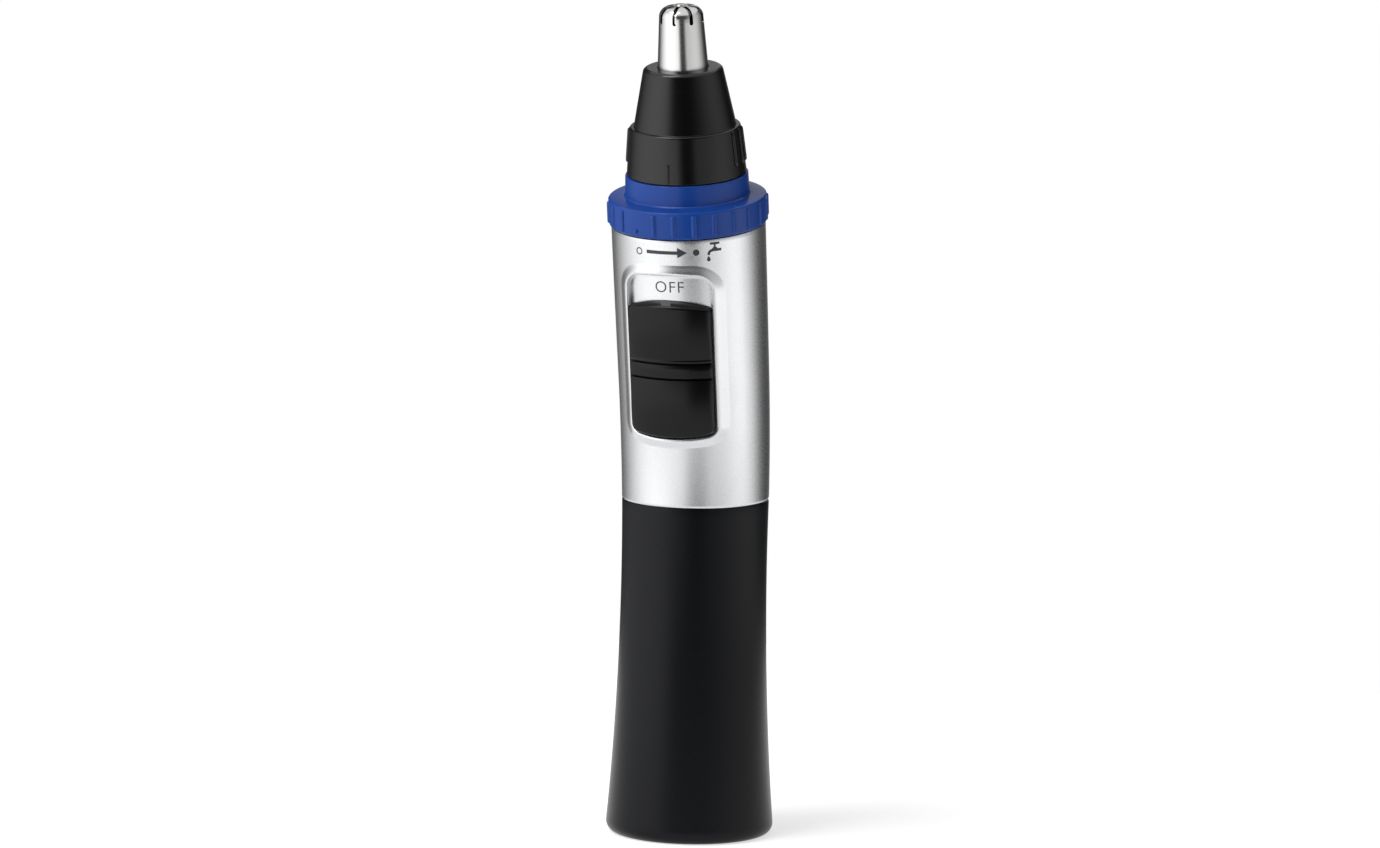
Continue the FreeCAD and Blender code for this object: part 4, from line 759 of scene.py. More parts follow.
def make_slide():
    """Two bulged lobes with a finger band between them, down to the recess floor."""
    size = sizes()
    clear, floor_gap, shelf_step = 0.22 * MM, 0.12 * MM, 0.05 * MM
    travel = joint_of("switch_slide")["range_m"][1]
    half = size.window_half - clear
    low = size.window_low + clear
    high = size.window_high + size.high_bow - clear - travel - size.knob_bow
    band, band_half, groove = 79.4 * MM, 1.05 * MM, 0.40 * MM
    bead, bead_tall, bead_half = 0.28 * MM, 0.12 * MM, 0.26 * MM
    crest_r, band_r = size.knob_crest_r, size.knob_band_r
    edge_r, groove_r, groove_shape = 12.95 * MM, 12.6 * MM, 0.8
    band_fall, band_flat = 0.17 * MM, 0.2
    bevel_slope = math.tan(math.radians(47))

    def end_drop(x, corner, bow):
        """How far an end of the outline lies inside its straight line at x."""
        over = max(0.0, abs(x) - (half - corner))
        return corner - math.sqrt(max(0.0, corner ** 2 - over ** 2)) - bow * (1 - (x / half) ** 2)

    def radius(z):
        """Radius of the face at height z: band, grooves beside it, or a lobe with its bead."""
        away = abs(z - band)
        if away <= band_half:
            rise = max(0.0, (z - band) / band_half - band_flat) / (1 - band_flat)
            return band_r - band_fall * rise ** 2
        if away <= band_half + groove:
            share = (away - band_half) / groove
            start = radius(band + math.copysign(band_half, z - band))
            edge = start + (edge_r - start) * share
            return edge - (edge - groove_r) * math.sin(math.pi * share) ** groove_shape
        lobe_low, lobe_high = ((low - size.low_bow - MM, band - band_half - groove) if z < band
                               else (band + band_half + groove, high + size.knob_bow + MM))
        share = 2 * (z - lobe_low) / (lobe_high - lobe_low) - 1
        lip = max(0.0, 1 - abs(z - lobe_low - bead) / bead_half) if z > band else 0.0
        return edge_r + (crest_r - edge_r) * (1 - share * share) + bead_tall * smooth_step(lip)

    def face_y(x, z, edge_gap, soft=0.38 * MM):
        """Depth of the face, bulged across its width and rounded near its edges."""
        drop = 0.0
        if edge_gap < soft:
            drop = soft - math.sqrt(max(0.0, soft ** 2 - (soft - edge_gap) ** 2))
        bulge = math.sqrt(size.knob_curve ** 2 - x * x) - size.knob_curve
        return -radius(z) - bulge + drop

    turned = size.low_corner
    right = [half - turned + turned * math.sin(turn) for turn in spread(0, QUARTER_TURN, 10)]
    right = sorted([*right, half - size.knob_corner])
    flat = spread(-(half - turned), half - turned, 25)
    across = [-x for x in reversed(right[1:])] + flat + right[1:]
    edge_steps = [0.0, 0.04 * MM, 0.10 * MM, 0.2 * MM, 0.34 * MM, 0.5 * MM]
    g1, g2 = band - band_half - groove, band + band_half + groove
    middle_rows = []
    for a, b, count in ((g1, band - band_half, 7), (band - band_half, band + band_half, 11),
                        (band + band_half, g2, 7), (g2, g2 + bead + bead_half, 11)):
        middle_rows += spread(a, b, count)[:-1]
    middle_rows = [g1 - 0.12 * MM, *middle_rows, g2 + bead + bead_half, g2 + 0.7 * MM]
    columns = []
    for x in across:
        bottom = low + end_drop(x, size.low_corner, size.low_bow)
        outline = high - end_drop(x, size.knob_corner, size.knob_bow)
        top = outline - size.knob_lens * (1 - (x / half) ** 2)
        zs = [bottom + step for step in edge_steps]
        zs += spread(zs[-1], middle_rows[0], 13)[1:-1]
        zs += middle_rows
        upper = [top - step for step in reversed(edge_steps)]
        zs += spread(middle_rows[-1], upper[0], 13)[1:-1]
        zs += upper
        column = []
        side_gap = half - abs(x)
        for z in zs:
            gap = min(side_gap, z - bottom, top - z)
            column.append(Vector((x, face_y(x, z, max(0.0, gap)), z)))
        columns.append((column, outline))
    points = [HEAD @ point for column, _ in columns for point in column]
    faces = []
    wide, rows_count = len(columns), len(columns[0][0])
    for c in range(wide - 1):
        for r in range(rows_count - 1):
            first = c * rows_count + r
            faces.append((first, first + rows_count, first + rows_count + 1, first + 1))
    # walls down to just over the recess floor, then the underside
    loop = [(c, 0) for c in range(wide)] + [(wide - 1, r) for r in range(1, rows_count)]
    loop += [(c, rows_count - 1) for c in range(wide - 2, -1, -1)]
    loop += [(0, r) for r in range(rows_count - 2, 0, -1)]
    under_height = floor_gap - size.window_depth

    def foot_point(c, r):
        """Point of the underside below the face's point."""
        column, outline = columns[c]
        z = outline if r == rows_count - 1 else column[r].z
        return on_front(column[r].x, z, under_height)

    shelf, foot = [], []
    for c, r in loop:
        column, outline = columns[c]
        here = column[r].copy()
        if r == rows_count - 1 and outline > here.z + 1e-6:
            here = Vector((here.x, here.y + (outline - here.z) / bevel_slope, outline))
        else:
            here.y += shelf_step
        shelf.append(len(points))
        points.append(HEAD @ here)
    for c, r in loop:
        foot.append(len(points))
        points.append(foot_point(c, r))
    top_loop = [c * rows_count + r for c, r in loop]
    faces += strips(top_loop, shelf) + strips(shelf, foot)
    under = len(points)
    points += [foot_point(c, r) for c in range(wide) for r in range(rows_count)]
    for c in range(wide - 1):
        for r in range(rows_count - 1):
            first = under + c * rows_count + r
            faces.append((first, first + 1, first + rows_count + 1, first + rows_count))
    slide = mesh_of("thumb_slide_moulding", points, faces, 34.0)
    place_piece(slide, "black_switch", "switch", ["switch_knob"])


# ---------------------------------------------------------------- wash ring and nozzle


def make_ring(tree):
    """Ring with its ribs; a small bump takes the place of one rib as the index."""
    index, bump_r, bump_s, wall = -22.5, 0.36, 102.1, 1.1
    rib_low, rib_high = 101.32, 105.12
    outer = sizes().band_r / MM
    inner = outer - wall
    section = rounded([
        (inner, 101.05, 0.12), (outer, 101.05, 0.34), (outer, 105.45, 0.30),
        (10.9, 105.68), (10.22, 105.68, 0.10), (10.0, 105.88, 0.12), (9.88, 109.1, 0.18),
        (9.30, 109.1), (9.30, 108.15), (8.95, 108.15), (8.95, 102.97), (inner, 102.97)])
    band = lathe("band", section, 144, HEAD)
    step = 360 / sizes().rib_count
    stand = (sizes().rib_r - sizes().rib_width / 2) / MM
    rows = ribs("ring_ribs", tree, "blue_ring", sizes().rib_count - 1, index + step, step,
                (stand, rib_low), (stand, rib_high), sizes().rib_width / MM)
    bump = bmesh.new()
    bmesh.ops.create_uvsphere(bump, u_segments=20, v_segments=12, radius=bump_r * MM)
    lift = Matrix.Rotation(math.radians(index), 4, "Z") @ Matrix.Translation(
        (0, -outer * MM, bump_s * MM))
    bmesh.ops.transform(bump, matrix=HEAD @ lift, verts=bump.verts)
    dot = bpy.data.meshes.new("bump")
    bump.to_mesh(dot)
    bump.free()
    whole = joined("wash_ring_moulding", [band, rows, dot])
    place_piece(whole, "blue_ring", "wash_ring", ["wash_ring"])


def skirt_radius(s):
    """Radius of the nozzle's skirt, which narrows upwards."""
    low_r, high_r, low_s, high_s = 9.62, 8.9, 109.25, 116.95
    return low_r + (high_r - low_r) * (s - low_s) / (high_s - low_s)


def skirt_ribs(name, tree, count, first, low, high, proud):
    """Ribs that stand proud of the skirt from low to high."""
    width, spacing = 0.6, 14
    foot, top = ((skirt_radius(s) + proud - width / 2, s) for s in (low, high))
    return ribs(name, tree, "black_nozzle", count, first, spacing, foot, top, width)


def make_nozzle(tree):
    """Stepped cone with its ribs; corners are (radius, s[, rounding])."""
    section = rounded([
        (6.38, 104.2), (7.48, 104.2, 0.15), (7.48, 109.25), (9.62, 109.25, 0.12),
        (8.9, 116.95, 0.34), (8.22, 116.95, 0.08), (6.33, 126.5, 0.8), (4.13, 126.5, 0.06),
        (4.13, 125.4), (4.98, 125.4), (4.98, 124.1), (6.4, 115.7), (6.38, 110.35)], 7)
    meshes = [lathe("cone", section, 144, HEAD)]
    for side in (-90, 90):
        meshes.append(skirt_ribs("grip_ribs", tree, 3, side - 14, 110.9, 116.72, 0.32))
    meshes.append(skirt_ribs("front_rib", tree, 1, 0, 109.35, 112.6, 0.26))
    whole = joined("nozzle_moulding", meshes)
    place_piece(whole, "black_nozzle", "head", ["nozzle"])


# ---------------------------------------------------------------- tip


def slot_tree():
    """Slots with round ends cut round a domed tip, laid on the head."""
    tree, ins = new_tree("tip slots", [("Count", "Int"), ("First Angle", "Float"),
                                       ("Step", "Float"), ("Width", "Float"), ("Low", "Float"),
                                       ("Tall", "Float"), ("Inner Radius", "Float"),
                                       ("Reach", "Float"), *HEAD_INPUTS])
    half = maths(tree, "MULTIPLY", ins["Width"], 0.5)
    tall = maths(tree, "SUBTRACT", ins["Tall"], ins["Low"])
    shape = add_node(tree, "GeometryNodeCurvePrimitiveQuadrilateral",
                     {"Width": ins["Width"], "Height": tall})
    shape = add_node(tree, "GeometryNodeFilletCurve",
                     {"Curve": shape.outputs[0], "Count": 8,
                      "Radius": maths(tree, "MULTIPLY", half, 0.998)}, mode="POLY")
    face = add_node(tree, "GeometryNodeFillCurve", {"Curve": shape.outputs[0]}, mode="NGONS")
    deep = maths(tree, "SUBTRACT", ins["Reach"], maths(tree, "ADD", ins["Inner Radius"], half))
    away = add_node(tree, "ShaderNodeCombineXYZ", {"Z": deep})
    prism = add_node(tree, "GeometryNodeExtrudeMesh",
                     {"Mesh": face.outputs[0], "Offset": away.outputs[0], "Individual": False})
    whole = add_node(tree, "GeometryNodeJoinGeometry")
    flipped = add_node(tree, "GeometryNodeFlipFaces", {"Mesh": face.outputs[0]})
    tree.links.new(prism.outputs[0], whole.inputs[0])
    tree.links.new(flipped.outputs[0], whole.inputs[0])
    merged = add_node(tree, "GeometryNodeMergeByDistance",
                      {"Geometry": whole.outputs[0], "Distance": 1e-7})
    quarter = add_node(tree, "FunctionNodeEulerToRotation", {0: (QUARTER_TURN, 0, 0)})
    lift = maths(tree, "ADD", ins["Low"], maths(tree, "MULTIPLY", tall, 0.5))
    start = maths(tree, "MULTIPLY", maths(tree, "ADD", ins["Inner Radius"], half), -1.0)
    spot = add_node(tree, "ShaderNodeCombineXYZ", {"Y": start, "Z": lift})
    stood = add_node(tree, "GeometryNodeTransform",
                     {"Geometry": merged.outputs[0], "Rotation": quarter.outputs[0],
                      "Translation": spot.outputs[0]})
    post = add_node(tree, "GeometryNodeMeshCylinder", {"Vertices": 20, "Radius": half,
                                                       "Depth": tall})
    spot = add_node(tree, "ShaderNodeCombineXYZ",
                    {"Y": start, "Z": maths(tree, "ADD", lift, half)})
    post = add_node(tree, "GeometryNodeTransform", {"Geometry": post.outputs[0],
                                                    "Translation": spot.outputs[0]})
    cutter = add_node(tree, "GeometryNodeJoinGeometry")
    tree.links.new(stood.outputs[0], cutter.inputs[0])
    tree.links.new(post.outputs[0], cutter.inputs[0])
    copies = around_axis(tree, cutter.outputs[0], ins)
    real = add_node(tree, "GeometryNodeRealizeInstances", {"Geometry": copies})
    body = next(node for node in tree.nodes if node.bl_idname == "NodeGroupInput").outputs["Geometry"]
    cut = add_node(tree, "GeometryNodeMeshBoolean",
                   {"Mesh 1": body, "Mesh 2": real.outputs[0], "Self Intersection": True},
                   operation="DIFFERENCE", solver="EXACT")
    end_tree(tree, laid_on_head(tree, cut.outputs[0], ins), ins["Material"])
    return tree


def dome(inset):
    """(radius, s) points down the tip's outside, moved inwards by inset, from the axis."""
    low_r, high_r, foot, shoulder, top, end_s = 4.05, 3.46, 126.5, 136.0, 136.5, 125.0
    taper = (low_r - high_r) / (shoulder - foot)
    crown = (high_r ** 2 + (top - shoulder) ** 2) / (2 * (top - shoulder))
    rounding, pull = 1.15 - inset, 1.24
    corner_s = shoulder - inset
    corner_r = high_r + taper * inset - inset
    inner = corner_r - rounding * 0.98
    line = []
    for share in spread(0, 1, 9):
        radius = inner * share
        line.append((radius, top - inset - crown + math.sqrt(crown ** 2 - radius ** 2)))
    last = line[-1]
    end = (corner_r + taper * rounding, corner_s - rounding)
    knee = (corner_r + 0.01, corner_s + 0.06)
    for share in spread(0, 1, 11)[1:]:
        a, b, c = (1 - share) ** 2, pull * share * (1 - share), share ** 2
        whole = a + b + c
        line.append(tuple((a * last[axis] + b * knee[axis] + c * end[axis]) / whole
                          for axis in (0, 1)))
    for s in spread(end[1], end_s, 14)[1:]:
        line.append((low_r + taper * (foot - s) - inset, s))
    return line


def shade_inside(mesh, outside):
    """Marks how deep each point lies under the tip's outside, for painted shade: 0 there, 1 on the
    inside.
    """
    full_depth = 0.14
    line = [Vector(point) for point in outside]
    depths = []
    for vertex in mesh.vertices:
        here = HEAD_BACK @ vertex.co / MM
        here = Vector((math.hypot(here.x, here.y), here.z))
        near = [geometry.intersect_point_line(here, a, b) for a, b in zip(line, line[1:])]
        spots = [a.lerp(b, max(0.0, min(1.0, share[1]))) for share, a, b in zip(near, line, line[1:])]
        depths.append(min(1.0, min((here - spot).length for spot in spots) / full_depth))
    mesh.attributes.new("inside", "FLOAT", "POINT").data.foreach_set("value", depths)


def make_tip():
    """Slotted dome with its flange and the hub in its middle."""
    wall, flange_r, flange_top, flange_under = 0.38, 4.9, 125.0, 124.98
    outside, inside = dome(0.0), dome(wall)
    profile = [*outside, (flange_r, flange_top), (flange_r, flange_under),
               (inside[-1][0], flange_under), *reversed(inside)]
    cap = lathe("cap", profile, 160)
    count = sizes().slot_count
    values = {"Count": count, "First Angle": 0.0, "Step": FULL_TURN / count,
              "Width": sizes().slot_width, "Low": sizes().slot_low, "Tall": 137.6 * MM,
              "Inner Radius": 1.05 * MM, "Reach": 5.2 * MM, **head_values("blade_steel")}
    slotted = nodes_result("slotted", slot_tree(), values, cap)
    # painted shade: the slot walls and the tip's inside are darkened by this depth
    shade_inside(slotted, outside)
    hub = rounded([(0.0, 136.1), (0.75, 136.1), (0.75, 136.66, 0.12), (0.0, 136.66)], 5)
    whole = joined("slotted_tip", [slotted, lathe("hub", hub, 40, HEAD)], 30.0)
    piece = place_piece(whole, "blade_steel", "head", ["outer_blade"])
    shade = piece.modifiers.new("even shading", "WEIGHTED_NORMAL")
    shade.keep_sharp = True


# ---------------------------------------------------------------- springs


def spring_tree():
    """Coil spring of round wire, from Low to High."""
    tree, ins = new_tree("spring", [("Turns", "Float"), ("Low Radius", "Float"),
                                    ("High Radius", "Float"), ("Low", "Float"), ("High", "Float"),
                                    ("Wire", "Float"), *HEAD_INPUTS])
    rise = maths(tree, "SUBTRACT", maths(tree, "SUBTRACT", ins["High"], ins["Low"]),
                 maths(tree, "MULTIPLY", ins["Wire"], 2.0))
    spiral = add_node(tree, "GeometryNodeCurveSpiral",
                      {"Resolution": 36, "Rotations": ins["Turns"], "Height": rise,
                       "Start Radius": ins["Low Radius"], "End Radius": ins["High Radius"]})
    section = add_node(tree, "GeometryNodeCurvePrimitiveCircle", {"Resolution": 12,
                                                                  "Radius": ins["Wire"]})
    wire = add_node(tree, "GeometryNodeCurveToMesh",
                    {"Curve": spiral.outputs[0], "Profile Curve": section.outputs[0],
                     "Fill Caps": True})
    spot = add_node(tree, "ShaderNodeCombineXYZ",
                    {"Z": maths(tree, "ADD", ins["Low"], ins["Wire"])})
    stood = add_node(tree, "GeometryNodeTransform", {"Geometry": wire.outputs[0],
                                                     "Translation": spot.outputs[0]})
    end_tree(tree, laid_on_head(tree, stood.outputs[0], ins), ins["Material"])
    return tree


def make_springs():
    """Coils of the cover spring, which stands upright, and of the blade spring."""
    tree = spring_tree()
    low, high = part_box("cover_spring")
    upright = {"Lean": 0.0, "Place": Vector(), "Material": finish_of("spring_steel")}
    # name, body, node, turns, low, high and wire radius in millimetres, foot, top, where it lies
    springs = (
        ("cover_coil_spring", "battery_cover", "cover_spring", 3.0, 4.6, 2.4, 0.32,
         low.z, high.z, upright),
        ("blade_coil_spring", "cutter", "blade_spring", 5.0, 2.15, 2.15, 0.22,
         117.6 * MM, 123.0 * MM, head_values("spring_steel")))
    for name, body, node, turns, low_r, high_r, wire, foot, top, place in springs:
        values = {"Turns": turns, "Low Radius": low_r * MM, "High Radius": high_r * MM,
                  "Wire": wire * MM, "Low": foot, "High": top, **place}
        mesh = joined(name, [nodes_result("coil", tree, values)], 60)
        place_piece(mesh, "spring_steel", body, [node])


# ---------------------------------------------------------------- printed marks


def printed(name, work, place):
    """Thin print from flat faces, bent onto the housing by place(x, y, height)."""
    piece_width, raised, sunk = 0.35 * MM, 0.014 * MM, -0.03 * MM
    low = min(v.co.x for v in work.verts)
    high = max(v.co.x for v in work.verts)
    for cut in range(1, int((high - low) / piece_width) + 1):
        everything = list(work.verts) + list(work.edges) + list(work.faces)
        bmesh.ops.bisect_plane(work, geom=everything, plane_co=(low + cut * piece_width, 0, 0),
                               plane_no=(1, 0, 0), dist=1e-8)
    bmesh.ops.recalc_face_normals(work, faces=work.faces)
    for face in work.faces:
        if face.normal.z < 0:
            face.normal_flip()
    made = bmesh.ops.extrude_face_region(work, geom=list(work.faces))
    lifted = {item for item in made["geom"] if isinstance(item, bmesh.types.BMVert)}
    for vert in work.verts:
        vert.co = place(vert.co.x, vert.co.y, raised if vert in lifted else sunk)
    bmesh.ops.recalc_face_normals(work, faces=work.faces)
    mesh = bpy.data.meshes.new(name)
    work.to_mesh(mesh)
    work.free()
    piece = linked(name, mesh)
    mesh.materials.append(finish_of("ink"))
    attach(piece, "housing")


def flat_faces(*parts):
    """Flat faces from lists of (x, y) outlines in millimetres."""
    work = bmesh.new()
    for part in parts:
        for outline in part:
            work.faces.new([work.verts.new((x * MM, y * MM, 0)) for x, y in outline])
    return work


def lettering(word):
    """Flat faces of a word."""
    letters = bpy.data.curves.new(word, "FONT")
    letters.body = word
    letters.size = 2.62 * MM
    letters.align_x = "CENTER"
    letters.align_y = "CENTER"
    letters.offset = -0.018 * MM
    letters.space_character = 1.12
    letters.resolution_u = 6
    holder = linked(word, letters)
    graph = bpy.context.evaluated_depsgraph_get()
    mesh = bpy.data.meshes.new_from_object(holder.evaluated_get(graph))
    bpy.data.objects.remove(holder)
    work = bmesh.new()
    work.from_mesh(mesh)
    bmesh.ops.remove_doubles(work, verts=work.verts, dist=1e-8)
    return work


def disc(x, y, radius, steps=32):
    """Outline of a circle."""
    return [(x + radius * math.sin(FULL_TURN * step / steps),
             y + radius * math.cos(FULL_TURN * step / steps)) for step in range(steps)]


def annulus(x, y, outer, inner, steps=32):
    """Flat ring."""
    big, small = disc(x, y, outer, steps), disc(x, y, inner, steps)
    return [[big[n], big[(n + 1) % steps], small[(n + 1) % steps], small[n]] for n in range(steps)]


def stroke(points, width):
    """Quads of a line of the given width through points, with mitred joints."""
    lines = [Vector(point) for point in points]
    sides = []
    for number, here in enumerate(lines):
        before = (here - lines[number - 1]).normalized() if number else None
        after = (lines[number + 1] - here).normalized() if number + 1 < len(lines) else None
        along = ((before or after) + (after or before)).normalized()
        across = Vector((-along.y, along.x))
        stretch = 1 / max(0.5, abs(across.dot(Vector((-(after or before).y, (after or before).x)))))
        sides.append((here + across * width / 2 * stretch, here - across * width / 2 * stretch))
    return [[tuple(sides[n][0]), tuple(sides[n + 1][0]), tuple(sides[n + 1][1]), tuple(sides[n][1])]
            for n in range(len(sides) - 1)]


def side_print(angle, s):
    """Place function for prints on the shell's side, about a middle point."""
    turn = math.radians(angle)
    return lambda x, y, height: on_side(turn + x / shell_radius(s * MM), s * MM + y, height)


def bar(low_x, high_x, low_y, high_y):
    """Outline of a rectangle."""
    return [[(low_x, low_y), (high_x, low_y), (high_x, high_y), (low_x, high_y)]]


def make_marks():
    """Ring marks over the window, and the words at both ends of the slide."""
    mark_s, open_at, full_at, arrow_at, tap_at = 98.95, -21.4, 23.5, 1.1, 37.6
    half, shaft, head_long, head_half = math.radians(15.7) * 12.43, 0.28, 1.6, 0.85
    printed("mark_open_circle", flat_faces(annulus(0, 0, 0.60, 0.42)), side_print(open_at, 98.85))
    printed("mark_full_circle", flat_faces([disc(0, 0, 0.52)]), side_print(full_at, mark_s))
    head = [(half - head_long, -head_half), (half, 0), (half - head_long, head_half)]
    printed("mark_arrow", flat_faces(bar(-half, half - head_long + 0.1, -shaft, shaft), [head]),
            side_print(arrow_at, mark_s))
    pipe = [(1.10, -0.05), (-0.35, -0.05), (-0.72, -0.14), (-0.98, -0.38), (-1.06, -0.80)]
    drop = [(-1.06, -0.92), (-0.83, -1.28), (-0.74, -1.52), (-0.84, -1.76), (-1.06, -1.86),
            (-1.28, -1.76), (-1.38, -1.52), (-1.29, -1.28)]
    collar = [(-0.50, 0.16), (0.50, 0.16), (0.25, 0.45), (-0.25, 0.45)]
    tap = flat_faces(bar(-0.80, 0.80, 0.85, 1.22), bar(-0.15, 0.15, 0.45, 0.85), [collar],
                     stroke(pipe, 0.42), [drop])
    printed("mark_tap", tap, side_print(tap_at, 99.2))
    floor, aside = -sizes().window_depth, 0.4 * MM
    for word, s in (("OFF", 93.1), ("ON", 70.9)):
        printed("mark_" + word.lower(), lettering(word),
                lambda x, y, height, s=s: on_front(x + aside, s * MM + y, floor + height))


# ---------------------------------------------------------------- studio


def seen_rays(tree):
    """1 for rays that show the background: from the camera, off gloss and through glass."""
    path = add_node(tree, "ShaderNodeLightPath").outputs
    gloss = maths(tree, "MAXIMUM", path["Is Glossy Ray"], path["Is Transmission Ray"])
    return maths(tree, "MAXIMUM", path["Is Camera Ray"], gloss)


def white_world():
    """White surroundings that fill the shadows softly."""
    world = bpy.data.worlds.new("studio")
    bpy.context.scene.world = world
    world.use_nodes = True
    tree = world.node_tree
    tree.nodes.clear()
    fill = add_node(tree, "ShaderNodeBackground", {"Color": (1, 1, 1, 1), "Strength": 0.28})
    white = add_node(tree, "ShaderNodeBackground", {"Color": (1, 1, 1, 1), "Strength": 1.0})
    both = add_node(tree, "ShaderNodeMixShader", {0: seen_rays(tree), 1: fill.outputs[0],
                                                  2: white.outputs[0]})
    add_node(tree, "ShaderNodeOutputWorld", {"Surface": both.outputs[0]})


def stage_piece(name, points, faces, material):
    """Piece of the studio, which isn't part of the object."""
    mesh = bpy.data.meshes.new(name)
    mesh.from_pydata(points, [], faces)
    mesh.materials.append(material)
    piece = linked(name, mesh)
    return piece


def rim_of(radius, steps, *heights):
    """Points round a circle, one for each height at every step."""
    turns = [FULL_TURN * step / steps for step in range(steps)]
    return [(radius * math.cos(turn), radius * math.sin(turn), z)
            for turn in turns for z in heights]


def stage_material(name):
    """Empty material and its node tree."""
    material = bpy.data.materials.new(name)
    material.use_nodes = True
    material.node_tree.nodes.clear()
    return material, material.node_tree


# (direction in degrees from the front, brightness) round the wall, below and above the object
LOW_GLOW = [(-180, 0.10), (-166, 0.40), (-150, 0.04), (-38, 0.92), (-2, 0.86), (12, 0.02),
            (28, 0.02), (43, 0.54), (98, 0.94), (152, 0.03), (170, 0.03), (180, 0.10)]
HIGH_GLOW = [(-180, 0.08), (-166, 0.30), (-150, 0.03), (-128, 0.04), (-48, 1.0), (-34, 0.94),
             (-4, 0.03), (30, 0.03), (94, 0.40), (150, 0.02), (170, 0.02), (180, 0.08)]


def soft_wall():
    """Ring of soft boxes and dark cards round the object, out of the camera's sight."""
    material, tree = stage_material("soft boxes and cards")
    way = add_node(tree, "ShaderNodeTexCoord").outputs["Object"]
    parts = add_node(tree, "ShaderNodeSeparateXYZ", {"Vector": way}).outputs
    turn = maths(tree, "ARCTAN2", parts["X"], maths(tree, "MULTIPLY", parts["Y"], -1.0))
    share = maths(tree, "ADD", maths(tree, "DIVIDE", turn, FULL_TURN), 0.5)
    low, high = (ramp(tree, share, [((angle + 180) / 360, value) for angle, value in stops],
                      "EASE") for stops in (LOW_GLOW, HIGH_GLOW))
    rise = add_node(tree, "ShaderNodeMapRange", {"Value": parts["Z"], 1: -0.48, 2: -0.34})
    glow = add_node(tree, "ShaderNodeMix", {"Factor": rise.outputs[0], 6: low, 7: high},
                    data_type="RGBA").outputs[2]
    light = add_node(tree, "ShaderNodeEmission", {"Color": glow, "Strength": 2.0})
    add_node(tree, "ShaderNodeOutputMaterial", {"Surface": light.outputs[0]})
    steps = 96
    points = rim_of(3.0, steps, -1.8, 2.5)
    ends = [(2 * step, 2 * ((step + 1) % steps)) for step in range(steps)]
    faces = [(here, here + 1, there + 1, there) for here, there in ends]
    wall = stage_piece("soft_wall", points, faces, material)
    wall.visible_camera = False


def studio_floor():
    """Plain pale floor that keeps the shadow and reads as white where it is lit."""
    material, tree = stage_material("pale floor")
    matt = add_node(tree, "ShaderNodeBsdfDiffuse", {"Color": (0.8, 0.8, 0.8, 1)})
    glow = add_node(tree, "ShaderNodeEmission",
                    {"Strength": maths(tree, "MULTIPLY", seen_rays(tree), 0.62)})
    both = add_node(tree, "ShaderNodeAddShader", {0: matt.outputs[0], 1: glow.outputs[0]})
    add_node(tree, "ShaderNodeOutputMaterial", {"Surface": both.outputs[0]})
    steps = 96
    stage_piece("studio_floor", rim_of(0.2, steps, 0), [tuple(range(steps))], material)


def aimed(height, side, rise, away):
    """Stand at a distance from a point of the object's axis, turned to face it."""
    target = Vector((0, 0, height))
    side, rise = math.radians(side), math.radians(rise)
    spot = target + away * Vector((math.sin(side) * math.cos(rise), -math.cos(side) * math.cos(rise),
                                   math.sin(rise)))
    return Matrix.Translation(spot) @ (target - spot).to_track_quat("-Z", "Y").to_matrix().to_4x4()


def add_camera():
    """Camera a metre off, a little above the middle and to the right of the front."""
    data = bpy.data.cameras.new("camera")
    data.lens = 160.75
    data.sensor_width = 36.0
    data.shift_x = -0.00504
    data.clip_start = 0.01
    camera = linked("camera", data)
    roll = Matrix.Rotation(math.radians(1.116), 4, "Z")
    camera.matrix_world = aimed(height=0.067, side=18, rise=6.8, away=1.0) @ roll
    bpy.context.scene.camera = camera


def add_lamp(name, side, rise, away, size, power):
    """Square soft lamp aimed at the middle of the object."""
    data = bpy.data.lights.new(name, "AREA")
    data.size = size
    data.energy = power
    linked(name, data).matrix_world = aimed(height=0.07, side=side, rise=rise, away=away)


# ---------------------------------------------------------------- operators


class TRIMMER_OT_finishes(bpy.types.Operator):
    """Gives every carried-over part its finish from the record's material slots"""

    bl_idname = "trimmer.finishes"
    bl_label = "Inner parts' finishes"

    def execute(self, context):
        for part in frame["record"]["subparts"]:
            node = frame["nodes"][part["node"]]
            node.data.materials.clear()
            node.data.materials.append(finish_of(part["material_slot"]))
        return {"FINISHED"}


class TRIMMER_OT_cover(bpy.types.Operator):
    """Makes the flared battery cover"""

    bl_idname = "trimmer.cover"
    bl_label = "Battery cover"

    def execute(self, context):
        make_cover()
        return {"FINISHED"}


class TRIMMER_OT_shell(bpy.types.Operator):
    """Makes the bent upper shell with the switch window and its rim"""

    bl_idname = "trimmer.shell"
    bl_label = "Upper shell"

    def execute(self, context):
        make_shell()
        return {"FINISHED"}


class TRIMMER_OT_slide(bpy.types.Operator):
    """Makes the thumb slide"""

    bl_idname = "trimmer.slide"
    bl_label = "Thumb slide"

    def execute(self, context):
        make_slide()
        return {"FINISHED"}


class TRIMMER_OT_head(bpy.types.Operator):
    """Makes the wash ring and the nozzle with their ribs"""

    bl_idname = "trimmer.head"
    bl_label = "Wash ring and nozzle"

    def execute(self, context):
        tree = rib_tree()
        make_ring(tree)
        make_nozzle(tree)
        return {"FINISHED"}


class TRIMMER_OT_tip(bpy.types.Operator):
    """Makes the slotted steel tip"""

    bl_idname = "trimmer.tip"
    bl_label = "Slotted tip"

    def execute(self, context):
        make_tip()
        return {"FINISHED"}


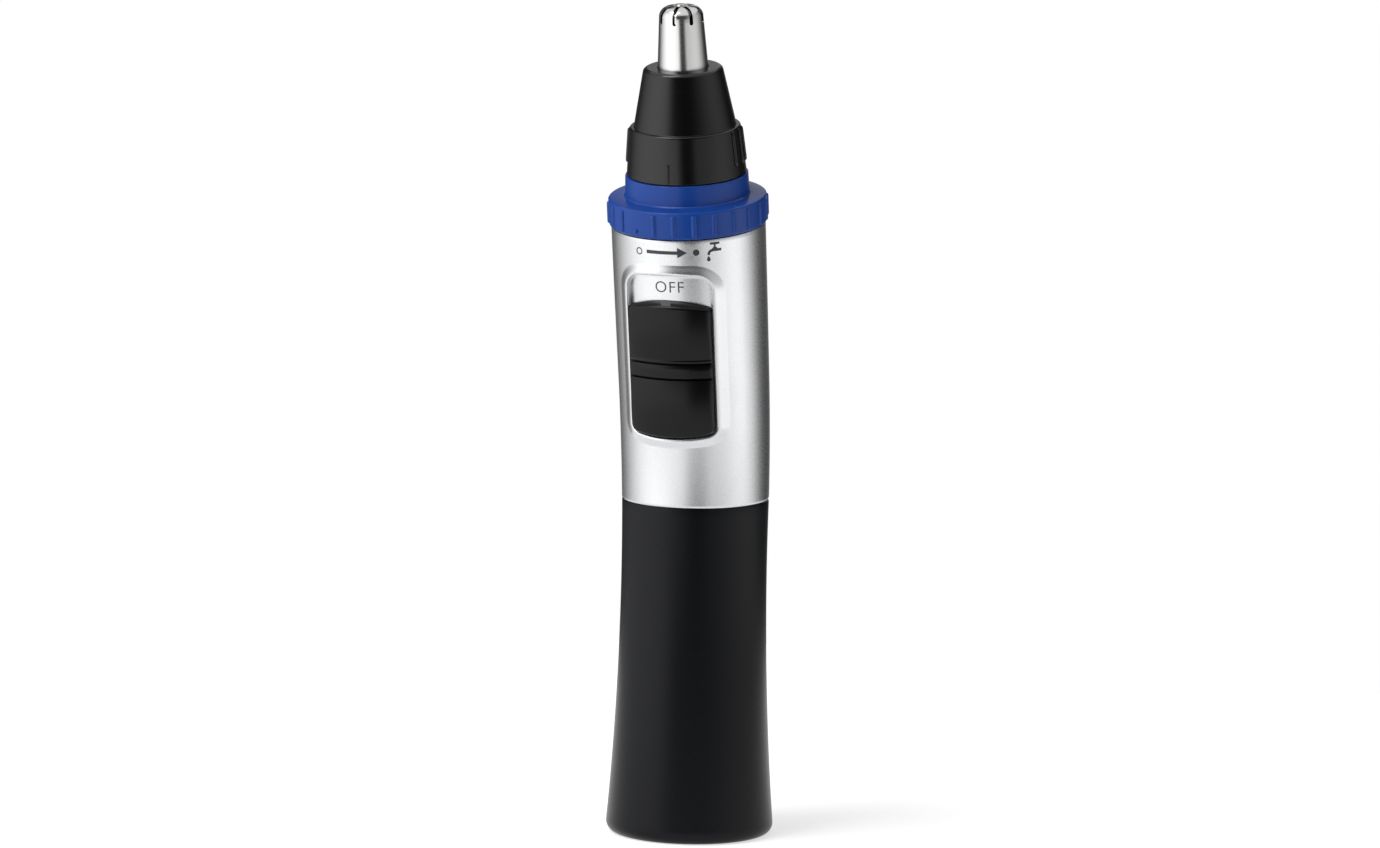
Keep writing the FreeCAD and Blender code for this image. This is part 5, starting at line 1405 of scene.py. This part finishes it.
class TRIMMER_OT_springs(bpy.types.Operator):
    """Makes the two coil springs"""

    bl_idname = "trimmer.springs"
    bl_label = "Springs"

    def execute(self, context):
        make_springs()
        return {"FINISHED"}


class TRIMMER_OT_marks(bpy.types.Operator):
    """Prints the switch and ring marks"""

    bl_idname = "trimmer.marks"
    bl_label = "Printed marks"

    def execute(self, context):
        make_marks()
        return {"FINISHED"}


class TRIMMER_OT_stage(bpy.types.Operator):
    """Makes the studio: light, floor and camera"""

    bl_idname = "trimmer.stage"
    bl_label = "Studio"

    def execute(self, context):
        white_world()
        soft_wall()
        studio_floor()
        add_lamp("soft top lamp", side=-38, rise=58, away=0.9, size=0.42, power=3.6)
        add_camera()
        context.scene.view_settings.view_transform = "Standard"
        return {"FINISHED"}


STEPS = (TRIMMER_OT_finishes, TRIMMER_OT_cover, TRIMMER_OT_shell, TRIMMER_OT_slide,
         TRIMMER_OT_head, TRIMMER_OT_tip, TRIMMER_OT_springs, TRIMMER_OT_marks, TRIMMER_OT_stage)


class TRIMMER_PT_panel(bpy.types.Panel):
    """Lists the trimmer's pieces"""

    bl_idname = "TRIMMER_PT_panel"
    bl_label = "Trimmer"
    bl_space_type = "VIEW_3D"
    bl_region_type = "UI"
    bl_category = "Trimmer"

    def draw(self, context):
        for group in (context.scene.trimmer_sizes, context.scene.trimmer_finishes):
            column = self.layout.column()
            for key in group.__annotations__:
                column.prop(group, key)
        for step in STEPS:
            self.layout.operator(step.bl_idname)


CLASSES = (TrimmerSizes, TrimmerFinishes, *STEPS, TRIMMER_PT_panel)


def register():
    for item in CLASSES:
        bpy.utils.register_class(item)
    bpy.types.Scene.trimmer_sizes = bpy.props.PointerProperty(type=TrimmerSizes)
    bpy.types.Scene.trimmer_finishes = bpy.props.PointerProperty(type=TrimmerFinishes)


def unregister():
    del bpy.types.Scene.trimmer_finishes
    del bpy.types.Scene.trimmer_sizes
    for item in reversed(CLASSES):
        bpy.utils.unregister_class(item)


def main():
    register()
    for step in STEPS:
        group, name = step.bl_idname.split(".")
        getattr(getattr(bpy.ops, group), name)()


if __name__ == "__main__":
    main()
